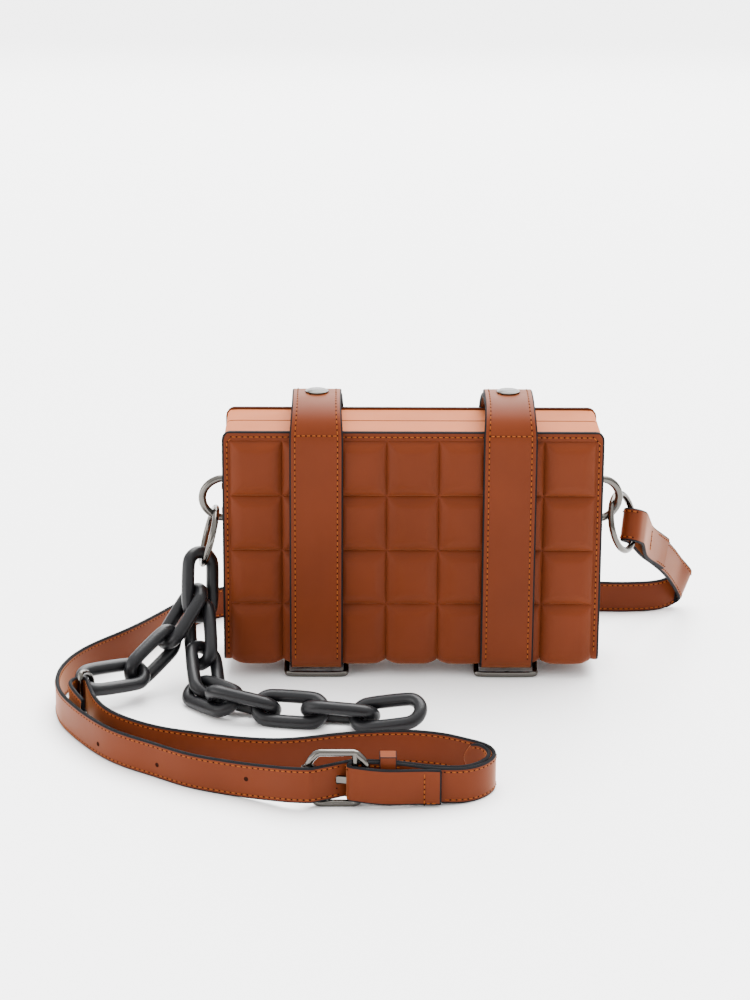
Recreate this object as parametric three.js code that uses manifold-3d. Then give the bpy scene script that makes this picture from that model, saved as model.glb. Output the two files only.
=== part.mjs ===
// Box bag: quilted leather wrap round two hard frames, two snapped closure straps on
// metal loops, side rings, a link chain and a buckled shoulder strap lying round it.
// Millimetres. X right, Y back, Z up, floor at zero, bag centred on x = 0 and y = 0.
import * as THREE from 'three';
import { mergeVertices } from 'three/addons/utils/BufferGeometryUtils.js';
import Module from 'manifold-3d';

const wasm = await Module();
wasm.setup();
const { Manifold } = wasm;

// Sizes of the bag body
const BAG_WIDTH = 200;
const BAG_DEPTH = 53;
const WRAP_TOP_Z = 135.1;
const WRAP_BOTTOM_Z = 10.5;
const WRAP_THICKNESS = 2.4;
const WRAP_BEND_R = 8;
const FRONT_CORNER_R = 4.5;
const BACK_CORNER_R = 8;
const FRAME_WALL = 3;
const FRAME_INSET_X = 1.1;
const FRAME_DROP = 1;
const FRAME_CORNER_R = 6;
const FRAME_SPLIT_Y = 0.8;
const CLEARANCE = 0.3;

// Padded tiles on the front
const TILE_COLUMNS = 7;
const TILE_PITCH_X = 27.4;
const TILE_PITCH_Z = 29.9;
const TILE_TOP_Z = 130.3;
const TILE_SEAM = 0.5;
const TILE_LEVELS = [[0, -0.6], [0, 0], [2.2, 2.3], [6.5, 3.7]];
const TILE_WRAP_LENGTH = 37;

// Closure straps with their snaps and floor loops
const CLOSURE_X = 50.6;
const CLOSURE_WIDTH = 28;
const CLOSURE_CREST_WIDTH = 26;
const CLOSURE_THICKNESS = 2.3;
const CLOSURE_OVERLAP_Y = 9.5;
const CLOSURE_STAND_Y = 31.75;
const CLOSURE_ARCH_Z = 128;
const CLOSURE_CREST_Z = 150.35;
const CLOSURE_UNDER_Z = 4.75;
const SNAP_CAP_R = 6.2;
const SNAP_HOLE_R = 3;
const LOOP_WIDTH = 35.2;
const LOOP_LENGTH = 20.4;
const LOOP_WIRE = 3.2;
const LOOP_FRONT_Y = 28;
const LOOP_REAR_Y = 12.2;
const LOOP_REAR_Z = 8.4;

// Side rings
const TAB_THICKNESS = 1.1;
const TAB_HEIGHT = 14;
const TAB_LENGTH = 16;
const TAB_WINDOW = 8.4;
const D_WIRE = 2.8;
const D_HALF = 9.3;
const D_REACH = 10.2;
const D_BAR_X = 100.75;
const D_Y = -12;
const D_Z = 91.5;
const O_RADIUS = 15.5;
const O_WIRE = 3.4;

// Chain
const LINK_LENGTH = 41;
const LINK_WIDTH = 21.2;
const LINK_WIRE = 6.2;

// Shoulder strap with its buckle
const STRAP_WIDTH = 17.8;
const STRAP_THICKNESS = 2.1;
const BUCKLE_WIRE = 3;
const BUCKLE_HEIGHT = 28.6;
const ROLLER_R = 3.5;
const KEEPER_WALL = 1.8;

// Ring in the end fold of the short strap
const END_RING_WIRE = 2.8;
const END_RING_HALF = 11.1;
const END_RING_REACH = 16.5;
const END_RING_TURN = 73.2;
const END_RING_Z = 12.6;

// Colours of the sub-parts
const TAN = 0x9a4f2b;
const TAN_LIGHT = 0xa8623c;
const GUNMETAL = 0x6b6660;
const RESIN_BLACK = 0x1d1c1e;

// Chain poses: the hanging link, then the strand to the strap end, then the free strand
const LINKS = [
  { centre: [-112.33, -23.44, 50.34], along: [-0.008, -0.384, -0.923], across: [0.841, 0.497, -0.214] },
  { centre: [-121.46, -33.95, 36.17], along: [-0.481, -0.52, -0.706], across: [0.567, -0.798, 0.202] },
  { centre: [-136.08, -49.82, 19.54], along: [-0.614, -0.642, -0.46], across: [-0.271, -0.375, 0.886] },
  { centre: [-155.74, -66.64, 14.02], along: [-0.873, -0.487, 0.028], across: [-0.425, 0.788, 0.445] },
  { centre: [-111.72, -37.82, 27.55], along: [0.088, -0.686, -0.722], across: [0.732, -0.447, 0.514] },
  { centre: [-108.31, -56.94, 13.72], along: [0.126, -0.884, -0.451], across: [0.842, 0.336, -0.422] },
  { centre: [-103.59, -76.73, 7.51], along: [0.646, -0.761, 0.053], across: [0.63, 0.572, 0.525] },
  { centre: [-87.32, -89.32, 9.3], along: [0.953, -0.273, -0.132], across: [-0.129, -0.758, 0.639] },
  { centre: [-63.08, -96.02, 7.86], along: [0.984, -0.179, 0], across: [0.138, 0.762, 0.633] },
  { centre: [-37.54, -100.78, 7.93], along: [0.992, -0.121, -0.044], across: [-0.073, -0.807, 0.586] },
  { centre: [-13.44, -106.46, 9.68], along: [0.957, -0.213, 0.2], across: [0.06, 0.813, 0.579] },
];

// Poses of the rings that hang from the side rings
const O_RING_LEFT = { centre: [-107.71, -15.79, 75.09], axis: [-0.961, -0.088, 0.261] };
const O_RING_RIGHT = { centre: [113.26, -0.99, 78.83], axis: [-0.8718, 0.4248, -0.2439] };
const SWING_LEFT = 0;
const SWING_RIGHT = 0.414;

const object = new THREE.Group();
object.name = 'box_bag';

function addPart(name, geometry, color, roughness, metalness) {
  const material = new THREE.MeshStandardMaterial({ color, roughness, metalness });
  const mesh = new THREE.Mesh(geometry, material);
  mesh.name = name;
  object.add(mesh);
  return mesh;
}

const vec = (x, y, z) => new THREE.Vector3(x, y, z);

// Solids for adding and cutting
function toSolid(geometry) {
  let plain = geometry.clone();
  for (const key of Object.keys(plain.attributes)) {
    if (key !== 'position') plain.deleteAttribute(key);
  }
  plain = mergeVertices(plain, 1e-4);
  const mesh = new wasm.Mesh({
    numProp: 3,
    vertProperties: new Float32Array(plain.attributes.position.array),
    triVerts: new Uint32Array(plain.index.array),
  });
  return new Manifold(mesh);
}

function toGeometry(solid) {
  const mesh = solid.getMesh();
  const geometry = new THREE.BufferGeometry();
  geometry.setAttribute('position', new THREE.BufferAttribute(new Float32Array(mesh.vertProperties), 3));
  geometry.setIndex(new THREE.BufferAttribute(new Uint32Array(mesh.triVerts), 1));
  geometry.computeVertexNormals();
  return geometry;
}

function fromRings(rings, closed) {
  // rings of equal length joined in order; ends capped unless the run is closed
  const count = rings[0].length;
  const positions = [];
  for (const ring of rings) {
    for (const p of ring) positions.push(p.x, p.y, p.z);
  }
  const index = [];
  const runs = closed ? rings.length : rings.length - 1;
  for (let i = 0; i < runs; i += 1) {
    const a = i * count;
    const b = ((i + 1) % rings.length) * count;
    for (let j = 0; j < count; j += 1) {
      const k = (j + 1) % count;
      index.push(a + j, a + k, b + k, a + j, b + k, b + j);
    }
  }
  if (!closed) {
    const last = (rings.length - 1) * count;
    for (let j = 1; j < count - 1; j += 1) {
      index.push(0, j + 1, j);
      index.push(last, last + j, last + j + 1);
    }
  }
  const geometry = new THREE.BufferGeometry();
  geometry.setAttribute('position', new THREE.Float32BufferAttribute(positions, 3));
  geometry.setIndex(index);
  return faceOut(geometry);
}

function faceOut(geometry) {
  const p = geometry.attributes.position;
  const index = geometry.index.array;
  const a = vec(0, 0, 0);
  const b = vec(0, 0, 0);
  const c = vec(0, 0, 0);
  let volume = 0;
  for (let i = 0; i < index.length; i += 3) {
    a.fromBufferAttribute(p, index[i]);
    b.fromBufferAttribute(p, index[i + 1]);
    c.fromBufferAttribute(p, index[i + 2]);
    volume += a.dot(b.cross(c));
  }
  if (volume < 0) {
    const flipped = Array.from(index);
    for (let i = 0; i < flipped.length; i += 3) {
      const keep = flipped[i + 1];
      flipped[i + 1] = flipped[i + 2];
      flipped[i + 2] = keep;
    }
    geometry.setIndex(flipped);
  }
  geometry.computeVertexNormals();
  return geometry;
}

function extrudeAlong(points2d, depth, toWorld) {
  const shape = new THREE.Shape(points2d.map(([u, v]) => new THREE.Vector2(u, v)));
  const geometry = new THREE.ExtrudeGeometry(shape, { depth, bevelEnabled: false, steps: 1 });
  geometry.applyMatrix4(toWorld);
  return geometry;
}

function arcPoints(cu, cv, r, from, to, steps) {
  const out = [];
  for (let i = 0; i <= steps; i += 1) {
    const t = THREE.MathUtils.degToRad(from + ((to - from) * i) / steps);
    out.push([cu + r * Math.cos(t), cv + r * Math.sin(t)]);
  }
  return out;
}

// Plane (y, z) swept along x, and plane (x, z) swept along y
const SWEEP_X = new THREE.Matrix4().set(0, 0, 1, 0, 1, 0, 0, 0, 0, 1, 0, 0, 0, 0, 0, 1);
const SWEEP_Y = new THREE.Matrix4().set(1, 0, 0, 0, 0, 0, -1, 0, 0, 1, 0, 0, 0, 0, 0, 1);

function sweepX(points, x0, x1) {
  const solid = toSolid(extrudeAlong(points, x1 - x0, SWEEP_X));
  return solid.translate([x0, 0, 0]);
}

function sweepY(points, y0, y1) {
  const solid = toSolid(extrudeAlong(points, y1 - y0, SWEEP_Y));
  return solid.translate([0, y1, 0]);
}

function cylinderZ(r, z0, z1, x, y, sides) {
  const solid = Manifold.cylinder(z1 - z0, r, r, sides);
  return solid.translate([x, y, z0]);
}

// Outline of the bag section in (y, z), open at the top, at a given inset
function wrapOutline(inset, topZ) {
  const half = BAG_DEPTH / 2 - inset;
  const floor = WRAP_BOTTOM_Z + inset;
  const r = WRAP_BEND_R - inset;
  const cy = half - r;
  return [
    [-half, topZ],
    ...arcPoints(-cy, floor + r, r, 180, 270, 6),
    ...arcPoints(cy, floor + r, r, 270, 360, 6),
    [half, topZ],
  ];
}

function roundedTopOutline(halfWidth, bottomZ, topZ, r) {
  return [
    [-halfWidth, bottomZ],
    [halfWidth, bottomZ],
    ...arcPoints(halfWidth - r, topZ - r, r, 0, 90, 5),
    ...arcPoints(-halfWidth + r, topZ - r, r, 90, 180, 5),
  ];
}

// Front path for tiles: distance down the front, round the bend and under
const FRONT_Y = -BAG_DEPTH / 2;
function frontPath(s) {
  const flat = WRAP_TOP_Z - WRAP_BOTTOM_Z - WRAP_BEND_R;
  const bend = (WRAP_BEND_R * Math.PI) / 2;
  if (s <= flat) return { y: FRONT_Y, z: WRAP_TOP_Z - s, ny: -1, nz: 0 };
  if (s <= flat + bend) {
    const t = (s - flat) / WRAP_BEND_R;
    const cy = FRONT_Y + WRAP_BEND_R;
    const cz = WRAP_BOTTOM_Z + WRAP_BEND_R;
    return {
      y: cy - WRAP_BEND_R * Math.cos(t),
      z: cz - WRAP_BEND_R * Math.sin(t),
      ny: -Math.cos(t),
      nz: -Math.sin(t),
    };
  }
  return { y: FRONT_Y + WRAP_BEND_R + (s - flat - bend), z: WRAP_BOTTOM_Z, ny: 0, nz: -1 };
}

// One padded tile: rectangle levels stepped in from its seam, following the path
function tileSolid(x0, x1, s0, s1, steps) {
  const rings = TILE_LEVELS.map(([inset, height]) => {
    const a = x0 + inset;
    const b = x1 - inset;
    const ring = [];
    const place = (x, s) => {
      const p = frontPath(s);
      return vec(x, p.y + p.ny * height, p.z + p.nz * height);
    };
    for (let i = 0; i <= steps; i += 1) {
      ring.push(place(a, s0 + inset + ((s1 - s0 - 2 * inset) * i) / steps));
    }
    for (let i = steps; i >= 0; i -= 1) {
      ring.push(place(b, s0 + inset + ((s1 - s0 - 2 * inset) * i) / steps));
    }
    return ring;
  });
  const count = rings[0].length;
  const positions = rings.flat().flatMap((p) => [p.x, p.y, p.z]);
  const index = [];
  for (let i = 0; i < rings.length - 1; i += 1) {
    for (let j = 0; j < count; j += 1) {
      const k = (j + 1) % count;
      const a = i * count;
      const b = a + count;
      index.push(a + j, a + k, b + k, a + j, b + k, b + j);
    }
  }
  const last = (rings.length - 1) * count;
  for (let i = 0; i < steps; i += 1) {
    const j = count - 1 - i;
    index.push(i, j - 1, i + 1, i, j, j - 1);
    index.push(last + i, last + i + 1, last + j - 1, last + i, last + j - 1, last + j);
  }
  const geometry = new THREE.BufferGeometry();
  geometry.setAttribute('position', new THREE.Float32BufferAttribute(positions, 3));
  geometry.setIndex(index);
  return toSolid(faceOut(geometry));
}

// Outer wrap
const outerPoly = wrapOutline(0, WRAP_TOP_Z);
const innerPoly = wrapOutline(WRAP_THICKNESS, WRAP_TOP_Z).reverse();
let wrap = sweepX([...outerPoly, ...innerPoly], -BAG_WIDTH / 2, BAG_WIDTH / 2);
const frontMask = sweepY(roundedTopOutline(BAG_WIDTH / 2, -5, WRAP_TOP_Z, FRONT_CORNER_R), -60, 0);
const backMask = sweepY(roundedTopOutline(BAG_WIDTH / 2, -5, WRAP_TOP_Z, BACK_CORNER_R), 0, 60);
wrap = wrap.intersect(frontMask.add(backMask));
const tiles = [];
const firstX = (-TILE_COLUMNS * TILE_PITCH_X) / 2;
const rowStart = WRAP_TOP_Z - TILE_TOP_Z;
for (let column = 0; column < TILE_COLUMNS; column += 1) {
  const x0 = firstX + column * TILE_PITCH_X + TILE_SEAM / 2;
  const x1 = x0 + TILE_PITCH_X - TILE_SEAM;
  for (let row = 0; row < 4; row += 1) {
    const s0 = rowStart + row * TILE_PITCH_Z + TILE_SEAM / 2;
    const s1 = s0 + (row < 3 ? TILE_PITCH_Z : TILE_WRAP_LENGTH) - TILE_SEAM;
    tiles.push(tileSolid(x0, x1, s0, s1, row < 3 ? 1 : 7));
  }
}
wrap = Manifold.union([wrap, ...tiles]);
addPart('outer_wrap', toGeometry(wrap), TAN, 0.42, 0);

// Front and back frames
const frameTop = WRAP_TOP_Z - FRAME_DROP;
const frameHalf = BAG_WIDTH / 2 - FRAME_INSET_X;
const frameInset = WRAP_THICKNESS + CLEARANCE;
function roundedBox(halfWidth, z0, z1, r) {
  return [
    ...arcPoints(-halfWidth + r, z0 + r, r, 180, 270, 4),
    ...arcPoints(halfWidth - r, z0 + r, r, 270, 360, 4),
    ...arcPoints(halfWidth - r, z1 - r, r, 0, 90, 4),
    ...arcPoints(-halfWidth + r, z1 - r, r, 90, 180, 4),
  ];
}
const frameBottom = WRAP_BOTTOM_Z + frameInset;
function frameSolid(y0, y1) {
  const outer = sweepY(roundedBox(frameHalf, frameBottom, frameTop, FRAME_CORNER_R), y0, y1);
  const inner = sweepY(
    roundedBox(frameHalf - FRAME_WALL, frameBottom + FRAME_WALL, frameTop - FRAME_WALL, FRAME_CORNER_R - FRAME_WALL),
    y0 - 5,
    y1 + 5,
  );
  const within = sweepX(wrapOutline(frameInset, frameTop + 5), -BAG_WIDTH, BAG_WIDTH);
  return outer.subtract(inner).intersect(within);
}
const frameReach = BAG_DEPTH / 2 - frameInset;
addPart('front_frame', toGeometry(frameSolid(-frameReach, FRAME_SPLIT_Y - CLEARANCE / 2)), TAN_LIGHT, 0.42, 0);
addPart('back_frame', toGeometry(frameSolid(FRAME_SPLIT_Y + CLEARANCE / 2, frameReach)), TAN_LIGHT, 0.42, 0);

// Closure straps: one strip up the front, over the top, down the back and under
function closurePath() {
  const arch = (side, crest, stop) => {
    const out = [];
    const rise = crest - CLOSURE_ARCH_Z;
    const steps = 9;
    for (let i = 0; i <= steps; i += 1) {
      const t = (Math.PI / 2) * (i / steps);
      const y = CLOSURE_STAND_Y * Math.cos(t) ** (2 / 2.3);
      const z = CLOSURE_ARCH_Z + rise * Math.sin(t) ** (2 / 2.3);
      if (y > stop) out.push([side * y, z]);
    }
    return out;
  };
  const crestAt = (y, crest) => {
    const k = (1 - Math.abs(y / CLOSURE_STAND_Y) ** 2.3) ** (1 / 2.3);
    return CLOSURE_ARCH_Z + (crest - CLOSURE_ARCH_Z) * k;
  };
  const lower = CLOSURE_CREST_Z - CLOSURE_THICKNESS - CLEARANCE;
  const front = [[CLOSURE_OVERLAP_Y, crestAt(CLOSURE_OVERLAP_Y, CLOSURE_CREST_Z)], [5, crestAt(5, CLOSURE_CREST_Z)]];
  front.push([0, CLOSURE_CREST_Z], ...arch(-1, CLOSURE_CREST_Z, 3).reverse());
  const bottom = [[-CLOSURE_STAND_Y, 100], [-CLOSURE_STAND_Y, 60], [-CLOSURE_STAND_Y, 17]];
  bottom.push([-31.2, 12.4], [-29.4, 8.6], [-26.6, 6], [-23, 4.95], [-18, CLOSURE_UNDER_Z]);
  const under = [...bottom, ...bottom.map(([y, z]) => [-y, z]).reverse()];
  const back = [...arch(1, lower, 3), [0, lower], [-5, crestAt(5, lower)]];
  back.push([-CLOSURE_OVERLAP_Y, crestAt(CLOSURE_OVERLAP_Y, lower)]);
  return [...front, ...under, ...back];
}

function closureWidth(z) {
  const t = THREE.MathUtils.clamp((z - 134) / 14, 0, 1);
  return CLOSURE_WIDTH + (CLOSURE_CREST_WIDTH - CLOSURE_WIDTH) * t;
}

function closureStrap(cx) {
  const path = closurePath();
  const rings = path.map(([y, z], i) => {
    const [py, pz] = path[Math.max(0, i - 1)];
    const [ny, nz] = path[Math.min(path.length - 1, i + 1)];
    const length = Math.hypot(ny - py, nz - pz);
    const ty = (ny - py) / length;
    const tz = (nz - pz) / length;
    const oy = (-tz * CLOSURE_THICKNESS) / 2;
    const oz = (ty * CLOSURE_THICKNESS) / 2;
    const half = closureWidth(z) / 2;
    return [
      vec(cx - half, y + oy, z + oz),
      vec(cx + half, y + oy, z + oz),
      vec(cx + half, y - oy, z - oz),
      vec(cx - half, y - oy, z - oz),
    ];
  });
  const strip = toSolid(fromRings(rings, false));
  return strip.subtract(cylinderZ(SNAP_HOLE_R, 143, 156, cx, 0, 12));
}

// Snap: domed cap with a bored post, and a stud with its pin inside the bore
function snapCap(cx) {
  const top = CLOSURE_CREST_Z + CLOSURE_THICKNESS / 2;
  const profile = [
    [1.5, -4.4], [2.6, -4.4], [2.6, 0.35], [SNAP_CAP_R, 0.35], [SNAP_CAP_R, 1.1],
    [SNAP_CAP_R - 1, 2], [SNAP_CAP_R - 3, 2.7], [0, 3], [0, -0.2], [1.5, -0.2], [1.5, -4.4],
  ];
  const geometry = new THREE.LatheGeometry(profile.map(([r, z]) => new THREE.Vector2(r, z)), 16);
  geometry.rotateX(Math.PI / 2);
  geometry.translate(cx, 0, top);
  return cleaned(geometry);
}

function snapStud(cx) {
  const under = CLOSURE_CREST_Z - CLOSURE_THICKNESS * 1.5 - CLEARANCE;
  const profile = [[0, -1.9], [4.6, -1.9], [5, -1.4], [5, -0.35], [1.1, -0.35], [1.1, 3.9], [0, 4.15]];
  const geometry = new THREE.LatheGeometry(profile.map(([r, z]) => new THREE.Vector2(r, z)), 16);
  geometry.rotateX(Math.PI / 2);
  geometry.translate(cx, 0, under);
  return cleaned(geometry);
}

function cleaned(geometry) {
  let plain = geometry.clone();
  plain.deleteAttribute('normal');
  plain.deleteAttribute('uv');
  plain = mergeVertices(plain, 1e-4);
  const index = plain.index.array;
  const keep = [];
  for (let i = 0; i < index.length; i += 3) {
    const a = index[i];
    const b = index[i + 1];
    const c = index[i + 2];
    if (a !== b && b !== c && a !== c) keep.push(a, b, c);
  }
  plain.setIndex(keep);
  return faceOut(plain);
}

// Round wire along a closed run of points
function closedWire(points, radius, sides, turn = 0) {
  const count = points.length;
  const normal = vec(0, 0, 0);
  for (let i = 0; i < count; i += 1) {
    normal.add(points[i].clone().cross(points[(i + 1) % count]));
  }
  const centre = points.reduce((sum, p) => sum.add(p), vec(0, 0, 0)).divideScalar(count);
  normal.set(0, 0, 0);
  for (let i = 0; i < count; i += 1) {
    const a = points[i].clone().sub(centre);
    const b = points[(i + 1) % count].clone().sub(centre);
    normal.add(a.cross(b));
  }
  normal.normalize();
  const rings = points.map((p, i) => {
    const before = p.clone().sub(points[(i + count - 1) % count]).normalize();
    const after = points[(i + 1) % count].clone().sub(p).normalize();
    const tangent = before.clone().add(after).normalize();
    const stretch = 1 / Math.max(0.5, tangent.dot(after));
    const side = tangent.clone().cross(normal).normalize();
    const ring = [];
    for (let k = 0; k < sides; k += 1) {
      const t = turn + (2 * Math.PI * k) / sides;
      const q = p.clone();
      q.addScaledVector(side, radius * Math.cos(t) * stretch);
      q.addScaledVector(normal, radius * Math.sin(t));
      ring.push(q);
    }
    return ring;
  });
  return fromRings(rings, true);
}

// Floor loops that the closure straps pass through
function roundedLoop(halfU, halfV, r, steps) {
  return [
    ...arcPoints(halfU - r, halfV - r, r, 0, 90, steps),
    ...arcPoints(-halfU + r, halfV - r, r, 90, 180, steps),
    ...arcPoints(-halfU + r, -halfV + r, r, 180, 270, steps),
    ...arcPoints(halfU - r, -halfV + r, r, 270, 360, steps),
  ];
}

function strapLoop(cx, side) {
  const floorZ = LOOP_WIRE / 2;
  const slopeY = LOOP_FRONT_Y - LOOP_REAR_Y;
  const slopeZ = LOOP_REAR_Z - floorZ;
  const length = Math.hypot(slopeY, slopeZ);
  const midY = (LOOP_FRONT_Y + LOOP_REAR_Y) / 2;
  const midZ = (LOOP_REAR_Z + floorZ) / 2;
  const points = roundedLoop((LOOP_WIDTH - LOOP_WIRE) / 2, length / 2, 2.2, 2).map(([u, v]) => {
    const k = v / length;
    return vec(cx + u, side * (midY - k * slopeY), midZ + k * slopeZ);
  });
  return closedWire(points, LOOP_WIRE / 2, 8, Math.PI / 8);
}

for (const [label, cx] of [['left', -CLOSURE_X], ['right', CLOSURE_X]]) {
  addPart(`closure_strap_${label}`, toGeometry(closureStrap(cx)), TAN, 0.42, 0);
  addPart(`snap_cap_${label}`, snapCap(cx), GUNMETAL, 0.3, 1);
  addPart(`snap_stud_${label}`, snapStud(cx), GUNMETAL, 0.3, 1);
  addPart(`front_loop_${label}`, strapLoop(cx, -1), GUNMETAL, 0.3, 1);
  addPart(`back_loop_${label}`, strapLoop(cx, 1), GUNMETAL, 0.3, 1);
}

// Side tabs: a strip on the wall, arched over the straight bar of its ring
function sideTab(side) {
  const wall = frameHalf + CLEARANCE;
  const reach = D_BAR_X + D_WIRE / 2 + CLEARANCE;
  const half = D_WIRE / 2 + CLEARANCE;
  const end = TAB_LENGTH / 2;
  const inner = [[-end, wall], [-half - 0.6, wall], [-half, wall + 1.2], [-half, reach - 0.8], [-half + 0.8, reach]];
  const innerAll = [...inner, ...inner.map(([y, x]) => [-y, x]).reverse()];
  const outer = [
    [-end, wall + TAB_THICKNESS], [-half - 1.5, wall + TAB_THICKNESS],
    [-half - TAB_THICKNESS, wall + 1.9], [-half - TAB_THICKNESS, reach - 0.3],
    [-half + 0.3, reach + TAB_THICKNESS],
  ];
  const outerAll = [...outer, ...outer.map(([y, x]) => [-y, x]).reverse()];
  const outline = [...innerAll, ...outerAll.reverse()];
  const flat = outline.map(([y, x]) => [side * x, D_Y + y]);
  const shape = new THREE.Shape(flat.map(([u, v]) => new THREE.Vector2(u, v)));
  const geometry = new THREE.ExtrudeGeometry(shape, { depth: TAB_HEIGHT, bevelEnabled: false });
  geometry.translate(0, 0, D_Z - TAB_HEIGHT / 2);
  const window = Manifold.cube([20, 2 * half + 2 * TAB_THICKNESS + 2.6, TAB_WINDOW], true);
  return toGeometry(toSolid(geometry).subtract(window.translate([side * (wall + 10), D_Y, D_Z])));
}

// D ring: straight bar at the wall, swung about that bar
function dPoints(side, swing) {
  const out = [];
  const straight = D_HALF - 1.1;
  out.push([0, straight]);
  out.push([0, -straight]);
  const arc = arcPoints(0, 0, 1, -82, 82, 12).map(([u, v]) => [u * D_REACH, v * D_HALF]);
  const all = [...out, ...arc];
  return all.map(([u, v]) => {
    return vec(
      side * (D_BAR_X + u * Math.cos(swing)),
      D_Y + u * Math.sin(swing),
      D_Z + v,
    );
  });
}

function ringPoints(ring, steps) {
  const centre = vec(...ring.centre);
  const axis = vec(...ring.axis).normalize();
  const u = vec(0, 0, 1).addScaledVector(axis, -axis.z).normalize();
  const v = axis.clone().cross(u);
  const out = [];
  for (let i = 0; i < steps; i += 1) {
    const t = (2 * Math.PI * i) / steps;
    const p = centre.clone().addScaledVector(u, O_RADIUS * Math.cos(t));
    out.push(p.addScaledVector(v, O_RADIUS * Math.sin(t)));
  }
  return out;
}

addPart('side_tab_left', sideTab(-1), TAN, 0.42, 0);
addPart('side_tab_right', sideTab(1), TAN, 0.42, 0);
addPart('side_ring_left', closedWire(dPoints(-1, SWING_LEFT), D_WIRE / 2, 8), GUNMETAL, 0.3, 1);
addPart('side_ring_right', closedWire(dPoints(1, SWING_RIGHT), D_WIRE / 2, 8), GUNMETAL, 0.3, 1);
addPart('o_ring_left', closedWire(ringPoints(O_RING_LEFT, 24), O_WIRE / 2, 8), GUNMETAL, 0.3, 1);
addPart('o_ring_right', closedWire(ringPoints(O_RING_RIGHT, 24), O_WIRE / 2, 8), GUNMETAL, 0.3, 1);

// Chain links
const STADIUM_R = (LINK_WIDTH - LINK_WIRE) / 2;
const STADIUM_HALF = (LINK_LENGTH - LINK_WIDTH) / 2;
function linkPoints(pose) {
  const centre = vec(...pose.centre);
  const along = vec(...pose.along).normalize();
  const across = vec(...pose.across);
  across.addScaledVector(along, -across.dot(along)).normalize();
  const flat = [
    ...arcPoints(STADIUM_HALF, 0, STADIUM_R, -90, 90, 7),
    ...arcPoints(-STADIUM_HALF, 0, STADIUM_R, 90, 270, 7),
  ];
  return flat.map(([u, v]) => centre.clone().addScaledVector(along, u).addScaledVector(across, v));
}
LINKS.forEach((pose, i) => {
  const name = `chain_link_${String(i + 1).padStart(2, '0')}`;
  addPart(name, closedWire(linkPoints(pose), LINK_WIRE / 2, 8), RESIN_BLACK, 0.62, 0);
});

// Strap run on its edge: each entry is a centre point and, where it leans, its width direction
function strapRun(entries, options = {}) {
  const curve = new THREE.CatmullRomCurve3(entries.map((e) => vec(e[0], e[1], e[2])), false, 'centripetal');
  const lean = entries.map((e) => (e.length > 3 ? vec(e[3], e[4], e[5]).normalize() : vec(0, 0, 1)));
  const per = options.per ?? 3;
  const runs = entries.length - 1;
  const thick = STRAP_THICKNESS / 2;
  const rings = [];
  const total = curve.getLength();
  let travelled = 0;
  let last = null;
  for (let i = 0; i <= runs * per; i += 1) {
    const t = i / (runs * per);
    const p = curve.getPoint(t);
    const tangent = curve.getTangent(t);
    if (last) travelled += p.distanceTo(last);
    last = p.clone();
    const k = Math.min(runs - 1, Math.floor(t * runs));
    const up = lean[k].clone().lerp(lean[k + 1], t * runs - k).normalize();
    const side = tangent.clone().cross(up).normalize();
    let half = STRAP_WIDTH / 2;
    if (options.tip) {
      const left = Math.max(0, total - travelled);
      const r = STRAP_WIDTH / 2;
      if (left < r) half = Math.max(2.5, Math.sqrt(r * r - (r - left) ** 2));
    }
    rings.push([
      p.clone().addScaledVector(up, half).addScaledVector(side, thick),
      p.clone().addScaledVector(up, -half).addScaledVector(side, thick),
      p.clone().addScaledVector(up, -half).addScaledVector(side, -thick),
      p.clone().addScaledVector(up, half).addScaledVector(side, -thick),
    ]);
  }
  return fromRings(rings, false);
}

// A run beside another one, at a set distance to its left in plan
function besideRun(entries, distance, from, to) {
  const out = [];
  for (let i = from; i <= to; i += 1) {
    const before = entries[Math.max(0, i - 1)];
    const after = entries[Math.min(entries.length - 1, i + 1)];
    const dx = after[0] - before[0];
    const dy = after[1] - before[1];
    const length = Math.hypot(dx, dy);
    const [x, y, z] = entries[i];
    out.push([x - (dy / length) * distance, y + (dx / length) * distance, z]);
  }
  return out;
}

// Buckle placing
const BUCKLE_Y = -202;
const BUCKLE_BAR_X = -30;
const BUCKLE_LEFT_X = -52;
const BUCKLE_RIGHT_X = -25;
const PRONG_Z = 12.9;
const PRONG_WIDTH = 3.6;
const STRAP_AT_BUCKLE_Z = 12.5;
const FOLD_R = BUCKLE_WIRE / 2 + 0.75 + STRAP_THICKNESS / 2;
const FLAP_Y = BUCKLE_Y - FOLD_R;
const MAIN_Y = BUCKLE_Y + FOLD_R;
const LAYER = STRAP_THICKNESS + CLEARANCE;
const TAIL_Y = MAIN_Y + LAYER + 0.1;
const around = (cx, cy, r, angles, z) => angles.map((deg) => {
  const t = THREE.MathUtils.degToRad(deg);
  return [cx + r * Math.cos(t), cy + r * Math.sin(t), z];
});

// Short strap: flap, fold round the centre bar, front run, right turn, back run, end fold
const FLAP_END = [
  [10.6, -202.95, 10], [3, -203.15, 10.3], [-6, -204.3, 10.6], [-15, FLAP_Y - 0.1, 10.9],
  [-24, FLAP_Y, 11.6],
];
const MAIN_RUN = [
  [-24, MAIN_Y, 12.4], [-15, MAIN_Y, 12], [-7, MAIN_Y - 0.1, 11.4], [3, -200.5, 10.6],
  [12, -200.35, 10], [20, -199, 9.4], [27.5, -194.8, 9], [33.5, -188, 8.95], [36.6, -180, 8.95],
  [35.6, -171.4, 8.95], [31, -165, 8.95], [24, -160.3, 8.95], [14.5, -154.3, 8.95], [1, -150.1, 8.95],
];
const BACK_RUN = [
  [-14.5, -149.8, 8.95], [-37, -153.2, 8.95], [-51.5, -158, 8.95], [-67, -161.3, 8.95],
  [-86, -159.1, 8.95], [-110, -151.8, 8.95], [-127.5, -145.2, 9.1], [-144.2, -134.2, 9.8],
  [-153.5, -125, 10.6], [-159.5, -114.5, 11.3], [-163.3, -103, 11.9], [-166, -92.5, 12.2],
];
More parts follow.
